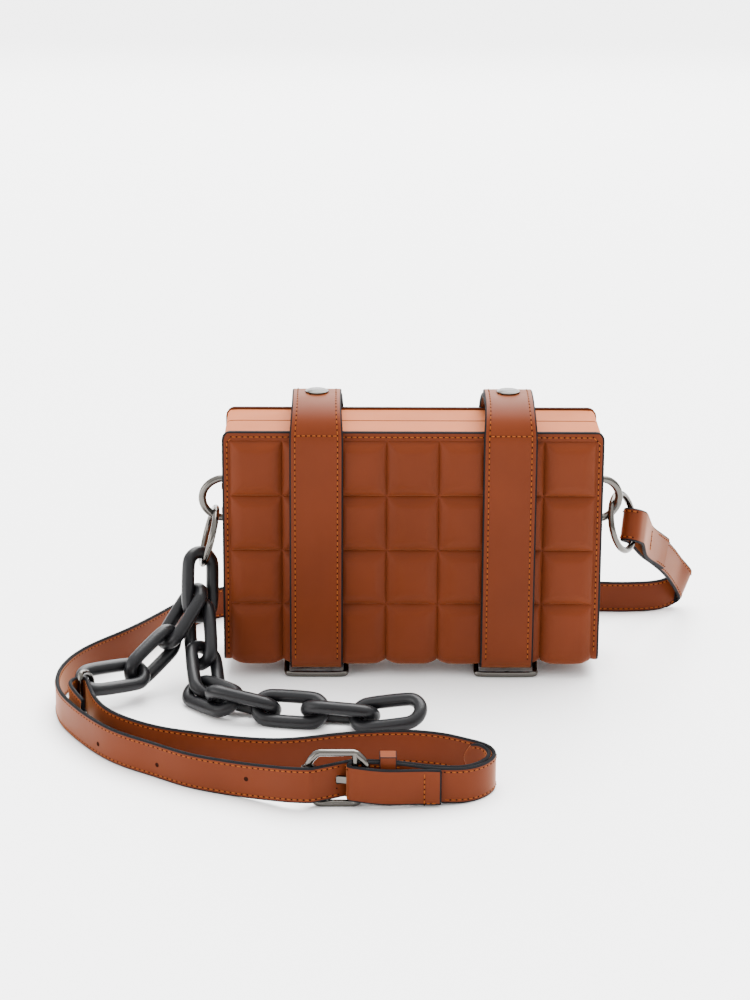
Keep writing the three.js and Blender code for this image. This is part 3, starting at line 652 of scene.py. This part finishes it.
def stitch_tree(name, finish):
    """Geometry nodes: a small rounded body on each point, along its row and facing out."""
    tree = bpy.data.node_groups.new(name, "GeometryNodeTree")
    tree.is_modifier = True
    entries = {"Rows": "NodeSocketGeometry", "Length": "NodeSocketFloat", "Thickness": "NodeSocketFloat"}
    for label, kind in entries.items():
        tree.interface.new_socket(label, in_out="INPUT", socket_type=kind)
    tree.interface.new_socket("Stitches", in_out="OUTPUT", socket_type="NodeSocketGeometry")

    def add(kind, values, **settings):
        made = tree.nodes.new(kind)
        for key, value in settings.items():
            setattr(made, key, value)
        for key, value in values.items():
            if isinstance(value, bpy.types.NodeSocket):
                tree.links.new(value, made.inputs[key])
            else:
                made.inputs[key].default_value = value
        return made.outputs

    entry = add("NodeGroupInput", {})
    body = add("GeometryNodeMeshUVSphere", {"Segments": 8, "Rings": 6, "Radius": 0.5})
    thick = entry["Thickness"]
    size = add("ShaderNodeCombineXYZ", {"X": entry["Length"], "Y": thick, "Z": thick})
    along = add("GeometryNodeInputNamedAttribute", {"Name": "along"}, data_type="FLOAT_VECTOR")
    out = add("GeometryNodeInputNamedAttribute", {"Name": "out"}, data_type="FLOAT_VECTOR")
    axes = {"Primary Axis": along["Attribute"], "Secondary Axis": out["Attribute"]}
    turn = add("FunctionNodeAxesToRotation", axes, primary_axis="X", secondary_axis="Z")
    body_at = {"Points": entry["Rows"], "Instance": body["Mesh"]}
    pose = {"Rotation": turn["Rotation"], "Scale": size["Vector"]}
    copies = add("GeometryNodeInstanceOnPoints", {**body_at, **pose})
    real = add("GeometryNodeRealizeInstances", {"Geometry": copies["Instances"]})
    soft = add("GeometryNodeSetShadeSmooth", {"Geometry": real["Geometry"]})
    dressed = add("GeometryNodeSetMaterial", {"Geometry": soft["Geometry"], "Material": finish})
    add("NodeGroupOutput", {"Stitches": dressed["Geometry"]})
    return tree


def repeat_on(name, rows, finish, length, thickness):
    """Bakes one rounded body at every (place, along, out) of rows into a plain mesh."""
    places = np.array([row[0] for row in rows])
    mesh = bpy.data.meshes.new(f"{name}_rows")
    mesh.from_pydata(places.tolist(), [], [])
    for label, column in (("along", 1), ("out", 2)):
        values = np.array([row[column] for row in rows], np.float32)
        attribute = mesh.attributes.new(label, "FLOAT_VECTOR", "POINT")
        attribute.data.foreach_set("vector", values.ravel())
    holder = add_linked(f"{name}_rows", mesh)
    modifier = holder.modifiers.new("stitches", "NODES")
    tree = stitch_tree(name, finish)
    modifier.node_group = tree
    entries = {item.name: item.identifier for item in tree.interface.items_tree if item.in_out == "INPUT"}
    modifier[entries["Length"]] = length
    modifier[entries["Thickness"]] = thickness
    baked = baked_mesh(holder)
    bpy.data.objects.remove(holder)
    piece = add_linked(name, baked)
    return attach(piece, "root")


def spaced(points, outs, pitch):
    """Evenly spaced (place, along, out) on a polyline."""
    points, outs = np.asarray(points, float), np.asarray(outs, float)
    steps = np.linalg.norm(np.diff(points, axis=0), axis=1)
    reach = np.concatenate([[0], np.cumsum(steps)])
    rows = []
    for s in np.arange(pitch / 2, reach[-1] - pitch / 4, pitch):
        k = min(len(steps) - 1, int(np.searchsorted(reach, s) - 1))
        length = max(steps[k], SHORTEST)
        t = (s - reach[k]) / length
        along = (points[k + 1] - points[k]) / length
        out = outs[k] * (1 - t) + outs[k + 1] * t
        rows.append((points[k] * (1 - t) + points[k + 1] * t, along, out / np.linalg.norm(out)))
    return rows


def cross_row(node, start, end, direction, pitch):
    """A stitch row laid on a node between two points, looking along direction."""
    bm = merged(node)
    bm.normal_update()
    form = BVHTree.FromBMesh(bm)
    bm.free()
    shares = np.linspace(0, 1, CROSS_SAMPLES)
    found = [form.ray_cast(start.lerp(end, share), Vector(direction)) for share in shares]
    found = [(place, normal) for place, normal, _, _ in found if place]
    points = [place + normal * CROSS_LIFT for place, normal in found]
    return spaced(points, [normal for _, normal in found], pitch)


def stitch_rows(name, rows):
    """Thread stitches on the rows, with a dark body between neighbours as painted shade of the needle hole.
    """
    sizes = bpy.context.scene.stitch_sizes
    repeat_on(f"{name}_stitches", rows, finish_of("thread"), sizes.length, sizes.thickness)
    hole_shades = [(place - np.array(along) * sizes.pitch / 2, along, out) for place, along, out in rows]
    repeat_on(f"{name}_holes", hole_shades, finish_of("painted hole shade"), HOLE_LENGTH, HOLE_WIDTH)


def border_rows(node, edge_axis, edge_share, inset, pitch, wanted):
    """Stitch rows beside the long sharp borders of a leather strip, on its broad faces."""
    bm = leather_run(node, edge_axis, edge_share)
    axis = Vector(edge_axis)
    borders = {}
    for edge in bm.edges:
        if len(edge.link_faces) != 2 or edge.calc_face_angle(0) < math.radians(BORDER_ANGLE):
            continue
        narrow = [face for face in edge.link_faces if abs(face.normal.dot(axis)) > edge_share]
        broad = [face for face in edge.link_faces if abs(face.normal.dot(axis)) <= edge_share]
        if len(narrow) == 1 and len(broad) == 1:
            borders[edge] = (-narrow[0].normal, broad[0].normal)
    rows, used = [], set()
    for first in borders:
        if first in used:
            continue
        line, facing = border_line(first, borders, used)
        if len(line) < 3:
            continue
        points = [place + inward * inset for place, (inward, _) in zip(line, facing)]
        found = spaced(points, [out for _, out in facing], pitch)
        rows += [row for row in found if wanted(row[0], row[2])]
    bm.free()
    return rows


def border_line(first, borders, used):
    """Follows joined borders both ways from one and returns its corners with their directions."""

    def follow(vert, edge):
        line = []
        inward, out = borders[edge]
        while True:
            line.append((vert.co.copy(), inward, out))
            ahead = [
                other
                for other in vert.link_edges
                if other in borders
                and other not in used
                and borders[other][0].dot(inward) > SAME_INWARD
                and borders[other][1].dot(out) > SAME_OUT
            ]
            if not ahead:
                return line
            edge = ahead[0]
            used.add(edge)
            inward, out = borders[edge]
            vert = edge.other_vert(vert)

    used.add(first)
    forward = follow(first.verts[1], first)
    backward = follow(first.verts[0], first)
    whole = backward[::-1] + forward
    return [np.array(place) for place, _, _ in whole], [(np.array(i), np.array(o)) for _, i, o in whole]


# Quilted wrap

# The bag's own measures and its corners
HALF_WIDTH = (WRAP_HIGH.x - WRAP_LOW.x) / 2
BAG_DEPTH = 53 * MM
WRAP_FLOOR = 8.3 * MM
WRAP_MIDDLE_Y = WRAP_HIGH.y - BAG_DEPTH / 2
FRONT_CORNER = 4.5 * MM
BACK_CORNER = 5 * MM

# Tiles: how many, the last row's length, the slopes beside a seam and what each form adds to the rise
TILE_COLUMNS = 7
TILE_ROWS = 4
LAST_TILE = 37 * MM
SLOPE = 6.4 * MM
SLOPE_POWER = 1.8
MITRED_SHARE = 0.55
SOFT_SHARE = 0.2
DOME_SHARE = 0.25
GROOVE_WIDTH = 0.7 * MM
GROOVE_DEPTH = 0.3 * MM
FADE = 6 * MM

# Border: the painted strip, how far it drops, and the steps of the grid
PAINTED = 1.1 * MM
EDGE_DROP = 0.5 * MM
BORDER = [share * MM for share in (0, 0.15, 0.4, 0.75, 1.1)]
TOP_STEPS = [1.8 * MM, 3 * MM]
SEAM_STEPS = [share * MM for share in (0, 0.35, 0.8, 1.4, 2.1, 3, 4, 5, 6, 7.2, 8.6)]
MIDDLE_START = 10.2 * MM
MIDDLE_STEPS = 7
PLAIN_STEP = 2 * MM
LEAST_STEP = 1e-6

# Stitch row round the panels
ROW_INSET = 2.7 * MM
ROW_LIFT = 0.12 * MM
ROW_CORNER = 3 * MM


def wrap_lengths(sizes):
    """Lengths of the front, of one bend, of the bottom, and of the whole from top edge to top edge."""
    flat = WRAP_HIGH.z - WRAP_FLOOR - sizes.bend
    bend = sizes.bend * math.pi / 2
    under = 2 * (BAG_DEPTH / 2 - sizes.bend)
    return flat, bend, under, 2 * flat + 2 * bend + under


def wrap_path(distance, sizes):
    """Place and outward direction on the wrap's outside, by the distance from its front top edge."""
    half = BAG_DEPTH / 2
    low = WRAP_FLOOR + sizes.bend
    flat, bend, under, _ = wrap_lengths(sizes)
    if distance <= flat:
        return -half, WRAP_HIGH.z - distance, -1.0, 0.0
    distance -= flat
    if distance <= bend:
        y, z = -math.cos(distance / sizes.bend), -math.sin(distance / sizes.bend)
        return -half + sizes.bend + y * sizes.bend, low + z * sizes.bend, y, z
    distance -= bend
    if distance <= under:
        return -half + sizes.bend + distance, WRAP_FLOOR, 0.0, -1.0
    distance -= under
    if distance <= bend:
        y, z = math.sin(distance / sizes.bend), -math.cos(distance / sizes.bend)
        return half - sizes.bend + y * sizes.bend, low + z * sizes.bend, y, z
    return half, low + distance - bend, 1.0, 0.0


def tile_height(x, distance, sizes):
    """Rise of the padded tiles over the wrap at a place."""
    across = x / sizes.tile_width + TILE_COLUMNS / 2
    down = (distance - sizes.top_margin) / sizes.tile_height
    if down < 0 or across < 0 or across > TILE_COLUMNS:
        return 0.0
    row = min(int(down), TILE_ROWS - 1)
    last = row == TILE_ROWS - 1
    tall = LAST_TILE if last else sizes.tile_height
    v = distance - sizes.top_margin - row * sizes.tile_height
    if v > tall:
        return 0.0
    u = (across - math.floor(across)) * sizes.tile_width
    side = min(u, sizes.tile_width - u)
    end = v if last else min(v, tall - v)

    def slope(value):
        return 1 - (1 - min(1.0, value / SLOPE)) ** SLOPE_POWER

    mitred = slope(min(side, end))
    soft = slope(side) * slope(end)
    dome = (1 - (2 * u / sizes.tile_width - 1) ** 2) * (1 if last else 1 - (2 * v / tall - 1) ** 2)
    groove = max(0.0, 1 - min(side, end) / GROOVE_WIDTH)
    fade = min(1.0, (tall - v) / FADE) if last else 1.0
    form = MITRED_SHARE * mitred + SOFT_SHARE * soft + DOME_SHARE * dome
    return sizes.tile_rise * fade * form - GROOVE_DEPTH * groove


def tile_steps(length):
    """Places across one tile, close together by the seams."""
    middle = list(np.linspace(MIDDLE_START, length - MIDDLE_START, MIDDLE_STEPS))
    return SEAM_STEPS + middle + [length - place for place in reversed(SEAM_STEPS)]


def apart(places):
    """The places in order, without those that fall together."""
    places = sorted(set(places))
    return [place for place, after in zip(places, places[1:] + [1]) if after - place > LEAST_STEP]


def grid_places(sizes, whole):
    """Distances down and places across of the wrap's corners."""
    downs = BORDER + TOP_STEPS
    for row in range(TILE_ROWS):
        length = LAST_TILE if row == TILE_ROWS - 1 else sizes.tile_height
        downs += [sizes.top_margin + row * sizes.tile_height + step for step in tile_steps(length)]
    downs += list(np.arange(downs[-1] + PLAIN_STEP, whole - PLAIN_STEP, PLAIN_STEP))
    downs += [whole - place for place in reversed(BORDER)]
    tiles = TILE_COLUMNS * sizes.tile_width / 2
    across = [place - HALF_WIDTH for place in BORDER] + [PLAIN_STEP - HALF_WIDTH]
    for column in range(TILE_COLUMNS):
        across += [column * sizes.tile_width - tiles + step for step in tile_steps(sizes.tile_width)]
    across += [HALF_WIDTH - PLAIN_STEP, *(HALF_WIDTH - place for place in reversed(BORDER))]
    return apart(downs), apart(across)


def width_at(z, front):
    """Half the wrap's width at a height, less where its top corners are rounded."""
    corner = FRONT_CORNER if front else BACK_CORNER
    rise = z - (WRAP_HIGH.z - corner)
    if rise <= 0:
        return HALF_WIDTH
    return HALF_WIDTH - corner + math.sqrt(max(0.0, corner * corner - rise * rise))


def wrap_side(bm, downs, across, sizes, inside):
    """The corners of one side of the leather, row by row."""
    whole = downs[-1]
    grid = []
    for distance in downs:
        y, z, out_y, out_z = wrap_path(float(distance), sizes)
        wide = width_at(z, y < 0)
        line = []
        for place in across:
            x = float(place) * wide / HALF_WIDTH
            border = min(HALF_WIDTH - abs(place), distance, whole - distance)
            drop = EDGE_DROP * max(0.0, 1 - border / PAINTED) ** 2
            rise = -sizes.thickness if inside else tile_height(x, float(distance), sizes) - drop
            line.append(bm.verts.new((MIDDLE_X + x, WRAP_MIDDLE_Y + y + out_y * rise, z + out_z * rise)))
        grid.append(line)
    return grid


def cover(bm, outer, inner, downs, across):
    """Faces on both sides of the leather and round its cut edge, the painted ones marked."""
    whole = downs[-1]
    rows, columns = len(downs), len(across)
    for i in range(rows - 1):
        for j in range(columns - 1):
            border = min(HALF_WIDTH - abs(across[j] + across[j + 1]) / 2, downs[i + 1], whole - downs[i])
            corners = (outer[i][j], outer[i + 1][j], outer[i + 1][j + 1], outer[i][j + 1])
            bm.faces.new(corners).material_index = int(border < PAINTED)
            bm.faces.new((inner[i][j], inner[i][j + 1], inner[i + 1][j + 1], inner[i + 1][j]))
    rim = []
    for j in range(columns - 1):
        rim.append((outer[0][j], outer[0][j + 1], inner[0][j + 1], inner[0][j]))
        rim.append((outer[-1][j + 1], outer[-1][j], inner[-1][j], inner[-1][j + 1]))
    for i in range(rows - 1):
        rim.append((outer[i + 1][0], outer[i][0], inner[i][0], inner[i + 1][0]))
        rim.append((outer[i][-1], outer[i + 1][-1], inner[i + 1][-1], inner[i][-1]))
    for corners in rim:
        bm.faces.new(corners).material_index = 1


class BAG_OT_wrap(bpy.types.Operator):
    """Quilted front, bottom and back in one piece of leather"""

    bl_idname = "bag.wrap"
    bl_label = "Quilted wrap"

    def execute(self, context):
        sizes = context.scene.wrap_sizes
        flat, _, _, whole = wrap_lengths(sizes)
        downs, across = grid_places(sizes, whole)
        bm = bmesh.new()
        outer, inner = (wrap_side(bm, downs, across, sizes, inside) for inside in (False, True))
        cover(bm, outer, inner, downs, across)
        bmesh.ops.recalc_face_normals(bm, faces=bm.faces)
        shade_soft(bm, FITTING_ANGLE)
        finishes = [finish_of("tan leather"), finish_of("edge paint")]
        piece = new_piece("quilted_wrap", bm, finishes, ["outer_wrap"])
        self.sew(WRAP_HIGH.z - flat, context.scene.stitch_sizes.pitch)
        return {"FINISHED"}

    def sew(self, low, pitch):
        """Rows up one side, across the top and down the other, on the front and on the back."""
        x, top = HALF_WIDTH - ROW_INSET, WRAP_HIGH.z - ROW_INSET
        rows = []
        for side in (-1, 1):
            y = WRAP_MIDDLE_Y + side * (BAG_DEPTH / 2 + ROW_LIFT)
            half = [(x, low), (x, top - ROW_CORNER), (x - ROW_CORNER, top)]
            corners = [(-u, v) for u, v in half] + half[::-1]
            line = [(MIDDLE_X + u, y, v) for u, v in corners]
            rows += spaced(line, [(0, side, 0)] * len(line), pitch)
        stitch_rows("wrap", rows)


# Frames and closure straps

FRAME_ROUNDING = 0.6 * MM
CLOSURE_INSET = 2.9 * MM
CLOSURE_LOWEST_STITCH = 12 * MM
CREST_ROW_HALF = 10.6 * MM
CREST_ROW_DROP = 0.6 * MM
LOOP_WIRE = 1.6 * MM
LOOK_FROM = 50 * MM


class BAG_OT_frames(bpy.types.Operator):
    """The two hard halves of the box"""

    bl_idname = "bag.frames"
    bl_label = "Frames"

    def execute(self, context):
        # The frames' lighter leather is painted light from above, and their darker rounded edges are painted
        # shade
        finishes = [finish_of("lit frame leather"), finish_of("frame edge shade")]
        for node in ("front_frame", "back_frame"):
            bm = plain_form(node)
            shade_soft(bm, LEATHER_ANGLE)
            piece = new_piece(f"{node}_looks", bm, finishes, [node])
            bevel(piece, FRAME_ROUNDING, paint=True)
        return {"FINISHED"}


class BAG_OT_closures(bpy.types.Operator):
    """Closure straps with their snaps and wire loops"""

    bl_idname = "bag.closures"
    bl_label = "Closure straps"

    def execute(self, context):
        pitch = context.scene.stitch_sizes.pitch
        rows = []
        for side in SIDES:
            strap = f"closure_strap_{side}"
            leather_piece(strap, (1, 0, 0), CUT_SHARE)
            rows += self.rows_of(strap, pitch)
            for node in (f"snap_cap_{side}", f"snap_stud_{side}"):
                bm = merged(node)
                bm.normal_update()
                shade_soft(bm, FITTING_ANGLE)
                new_piece(f"{node}_looks", bm, [finish_of("snap metal")], [node])
            for end in ("front", "back"):
                wire_piece(f"{end}_loop_{side}", "dark nickel", LOOP_WIRE)
        stitch_rows("closure", rows)
        return {"FINISHED"}

    def rows_of(self, strap, pitch):
        """Stitches along the outside of a strap, and across its front under the arch."""
        low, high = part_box(strap)
        middle = (low + high) / 2

        def outside(place, out):
            away = Vector(place) - middle
            return away.y * out[1] + away.z * out[2] > 0 and place[2] > CLOSURE_LOWEST_STITCH

        rows = border_rows(strap, (1, 0, 0), CUT_SHARE, CLOSURE_INSET, pitch, outside)
        start = Vector((middle.x - CREST_ROW_HALF, low.y - LOOK_FROM, WRAP_HIGH.z - CREST_ROW_DROP))
        end = start + Vector((2 * CREST_ROW_HALF, 0, 0))
        return rows + cross_row(strap, start, end, (0, 1, 0), pitch * 0.9)


# Rings and chain

RING_WIRE = 1.4 * MM
RING_MORE = 0.4 * MM
ROUND_RING_WIRE = 1.7 * MM
LINK_WIRE = 3.1 * MM
LINK_MORE = 0.42 * MM


class BAG_OT_side_rings(bpy.types.Operator):
    """Leather tabs, D rings, round rings and the end ring"""

    bl_idname = "bag.side_rings"
    bl_label = "Side rings"

    def execute(self, context):
        for side in SIDES:
            leather_piece(f"side_tab_{side}", (0, 0, 1), CUT_SHARE, run=False)
            wire_piece(f"side_ring_{side}", "dark nickel", RING_WIRE, RING_MORE)
            wire_piece(f"o_ring_{side}", "dark nickel", ROUND_RING_WIRE)
        wire_piece("end_ring", "dark nickel", RING_WIRE)
        return {"FINISHED"}


class BAG_OT_chain(bpy.types.Operator):
    """The resin chain links"""

    bl_idname = "bag.chain"
    bl_label = "Chain"

    def execute(self, context):
        for node in sorted(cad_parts):
            if node.startswith("chain_link"):
                wire_piece(node, "chain resin", LINK_WIRE, LINK_MORE)
        return {"FINISHED"}


# Shoulder strap and buckle

STRAP_INSET = 1.9 * MM

# Rows across the straps: strap, ends in millimetres, the way to look at them, share of the pitch
STRAP_CROSS_ROWS = (
    ("shoulder_strap_short", (12.6, -300, 2.0), (12.6, -300, 19.6), (0, 1, 0), 0.85),
    ("shoulder_strap_short", (13.5, -300, 2.2), (20, -300, 2.2), (0, 1, 0), 0.8),
    ("shoulder_strap_long", (188.4, 62.9, 64.5), (187.5, 61.5, 53), (-0.916, 0.4, 0), 0.85),
)

# Strap holes, drawn as flat dark discs of painted shade: places in millimetres and the ways that they face
HOLE_RADIUS = 1.2 * MM
HOLE_FLATNESS = 0.12
STRAP_HOLES = (
    ((-146.81, -84.21, 6.4), (-0.807, -0.591, 0)),
    ((-115.7, -112.92, 7.2), (-0.638, -0.77, 0)),
    ((-71.68, -138.5, 10.6), (-0.446, -0.895, 0)),
)

# Limits of the plain flaps of leather at the buckle and at the right ring
BUCKLE_FLAP_X = (-27 * MM, 22 * MM)
BUCKLE_FLAP_Y = -143.6 * MM
RING_FLAP_X = 110 * MM
RING_FLAP_Y = 93 * MM
RING_FLAP_Z = 40 * MM
FACES_FRONT = -0.5
FACES_RIGHT = 0.2


def off_flap(place, out):
    """False on the plain flaps of leather, which have no stitches along their borders."""
    first, last = BUCKLE_FLAP_X
    x, y, z = place
    at_buckle = out[1] < FACES_FRONT and first < x < last and y < BUCKLE_FLAP_Y
    at_ring = out[0] > FACES_RIGHT and x > RING_FLAP_X and y < RING_FLAP_Y and z > RING_FLAP_Z
    return not at_buckle and not at_ring


def strap_hole_shade(index, place, out):
    """A flat dark disc on the strap, painted shade standing in for a punched hole."""
    bm = bmesh.new()
    bmesh.ops.create_uvsphere(bm, u_segments=20, v_segments=10, radius=HOLE_RADIUS)
    turn = out.to_track_quat("Z", "Y").to_matrix()
    for vert in bm.verts:
        vert.co = place + turn @ Vector((vert.co.x, vert.co.y, vert.co.z * HOLE_FLATNESS))
    for face in bm.faces:
        face.smooth = True
    new_piece(f"strap_hole_shade_{index}", bm, [finish_of("painted hole shade")])


class BAG_OT_straps(bpy.types.Operator):
    """The two straps of the shoulder strap with their stitches"""

    bl_idname = "bag.straps"
    bl_label = "Shoulder straps"

    def execute(self, context):
        pitch = context.scene.stitch_sizes.pitch
        rows = []
        for node in ("shoulder_strap_long", "shoulder_strap_short"):
            leather_piece(node, (0, 0, 1), STRAP_CUT_SHARE)
            rows += border_rows(node, (0, 0, 1), STRAP_CUT_SHARE, STRAP_INSET, pitch, off_flap)
        for node, start, end, direction, share in STRAP_CROSS_ROWS:
            rows += cross_row(node, Vector(start) * MM, Vector(end) * MM, direction, pitch * share)
        stitch_rows("strap", rows)
        leather_piece("strap_keeper", (1, 0, 0), CUT_SHARE, run=False)
        # Dark discs of painted shade at the strap's holes
        for index, (place, out) in enumerate(STRAP_HOLES, 1):
            strap_hole_shade(index, Vector(place) * MM, Vector(out))
        return {"FINISHED"}


BUCKLE_MORE = 0.3 * MM
BUCKLE_ROUNDING = 0.3 * MM


class BAG_OT_buckle(bpy.types.Operator):
    """The buckle's frame, prong and roller"""

    bl_idname = "bag.buckle"
    bl_label = "Buckle"

    def execute(self, context):
        for node in ("buckle_frame", "buckle_prong", "buckle_roller"):
            bm = merged(node)
            if node == "buckle_frame":
                bm.normal_update()
                for vert in bm.verts:
                    vert.co += vert.normal * BUCKLE_MORE
            bm.normal_update()
            shade_soft(bm, FITTING_ANGLE)
            piece = new_piece(f"{node}_looks", bm, [finish_of("dark nickel")], [node])
            if node != "buckle_frame":
                bevel(piece, BUCKLE_ROUNDING)
        return {"FINISHED"}


# Stage

FLOOR_HALF = 6.0
CAMERA_PLACE = Vector((-32.15, -1365.25, 499.42)) * MM
SENSOR = 36
FAR = 50
LIGHT_TARGET = Vector((0, 0, 0.05))
SUN_ANGLE = 60
PANEL = (2.6, 1.1)
LEFT_SHARE = 1.1

# Sky: where it turns lighter on the way up, and how light it is below and above
SKY_TURN = (0.2, 0.6)
SKY_LOW = (0.55, 0.55, 0.55, 1)
SKY_HIGH = (1.15, 1.15, 1.15, 1)


class BAG_OT_stage(bpy.types.Operator):
    """Floor, lights and camera"""

    bl_idname = "bag.stage"
    bl_label = "Stage"

    def execute(self, context):
        sizes = context.scene.stage_sizes
        self.lay_floor(sizes.floor)
        self.light_sky(context.scene, sizes.world)
        self.light("high light", "SUN", (0.25, 0.6, 1.3), sizes.key_power)
        self.light("back panel", "AREA", (0.0, 2.4, 1.0), sizes.back_power)
        self.light("left panel", "AREA", (-2.1, -1.0, 0.55), sizes.back_power * LEFT_SHARE)
        self.set_camera(context.scene, sizes)
        return {"FINISHED"}

    def lay_floor(self, colour):
        """A wide pale floor under the bag."""
        bm = bmesh.new()
        bmesh.ops.create_grid(bm, x_segments=1, y_segments=1, size=FLOOR_HALF)
        mesh = bpy.data.meshes.new("floor")
        bm.to_mesh(mesh)
        bm.free()
        mesh.materials.append(plain("pale floor", colour, 0.55, 0.5))
        add_linked("floor", mesh)

    def light_sky(self, scene, strength):
        """Even white surroundings, a little darker near the floor."""
        world = bpy.data.worlds.new("soft surroundings")
        world.use_nodes = True
        background = world.node_tree.nodes["Background"]
        sky = Shader.of(world.node_tree)
        up = sky.node("ShaderNodeSeparateXYZ", None, [sky.node("ShaderNodeTexCoord")], "Z")
        sky.fill(background.inputs["Color"], sky.blend(up.clamp(*SKY_TURN), SKY_LOW, SKY_HIGH))
        sky.fill(background.inputs["Strength"], strength)
        scene.world = world

    def light(self, name, kind, place, power):
        """A soft sun or a lit panel that faces the bag."""
        data = bpy.data.lights.new(name, kind)
        data.energy = power
        if kind == "SUN":
            data.angle = math.radians(SUN_ANGLE)
        else:
            data.shape = "RECTANGLE"
            data.size, data.size_y = PANEL
        lamp = add_linked(name, data)
        lamp.location = place
        lamp.rotation_mode = "QUATERNION"
        lamp.rotation_quaternion = (LIGHT_TARGET - Vector(place)).to_track_quat("-Z", "Y")

    def set_camera(self, scene, sizes):
        """The camera that the photo was taken with."""
        data = bpy.data.cameras.new("photo view")
        data.sensor_width = SENSOR
        data.lens = sizes.lens
        data.clip_end = FAR
        turn_z = np.array(Matrix.Rotation(sizes.yaw, 3, "Z"))
        turn_x = np.array(Matrix.Rotation(-sizes.pitch, 3, "X"))
        turn_y = np.array(Matrix.Rotation(sizes.roll, 3, "Y"))
        axes = turn_z @ turn_x @ turn_y
        place = Matrix(np.column_stack([axes[:, 0], axes[:, 2], -axes[:, 1]]).tolist()).to_4x4()
        place.translation = Vector((MIDDLE_X, WRAP_MIDDLE_Y, 0)) + CAMERA_PLACE
        camera = add_linked("photo view", data)
        camera.matrix_world = place
        scene.camera = camera


class BAG_PT_panel(bpy.types.Panel):
    """Lists the bag's builders"""

    bl_idname = "BAG_PT_panel"
    bl_label = "Box bag"
    bl_space_type = "VIEW_3D"
    bl_region_type = "UI"
    bl_category = "Box bag"

    def draw(self, context):
        for operator in OPERATORS:
            self.layout.operator(operator.bl_idname)
        for group in GROUPS:
            settings = getattr(context.scene, group)
            for name in settings.__annotations__:
                self.layout.prop(settings, name)


OPERATORS = (
    BAG_OT_wrap,
    BAG_OT_frames,
    BAG_OT_closures,
    BAG_OT_side_rings,
    BAG_OT_chain,
    BAG_OT_straps,
    BAG_OT_buckle,
    BAG_OT_stage,
)
GROUPS = {
    "wrap_sizes": WrapSizes,
    "stitch_sizes": StitchSizes,
    "fitting_looks": FittingLooks,
    "stage_sizes": StageSizes,
}


def register():
    """Registers the classes and puts the settings on the scene."""
    for cls in (*GROUPS.values(), *OPERATORS, BAG_PT_panel):
        bpy.utils.register_class(cls)
    for name, cls in GROUPS.items():
        setattr(bpy.types.Scene, name, bpy.props.PointerProperty(type=cls))


def unregister():
    """Takes the settings off the scene and the classes out again."""
    for name in GROUPS:
        delattr(bpy.types.Scene, name)
    for cls in (BAG_PT_panel, *reversed(OPERATORS), *reversed(GROUPS.values())):
        bpy.utils.unregister_class(cls)


def main():
    """Builds every piece and the stage."""
    register()
    bpy.ops.bag.wrap()
    bpy.ops.bag.frames()
    bpy.ops.bag.closures()
    bpy.ops.bag.side_rings()
    bpy.ops.bag.chain()
    bpy.ops.bag.straps()
    bpy.ops.bag.buckle()
    bpy.ops.bag.stage()


if __name__ == "__main__":
    main()
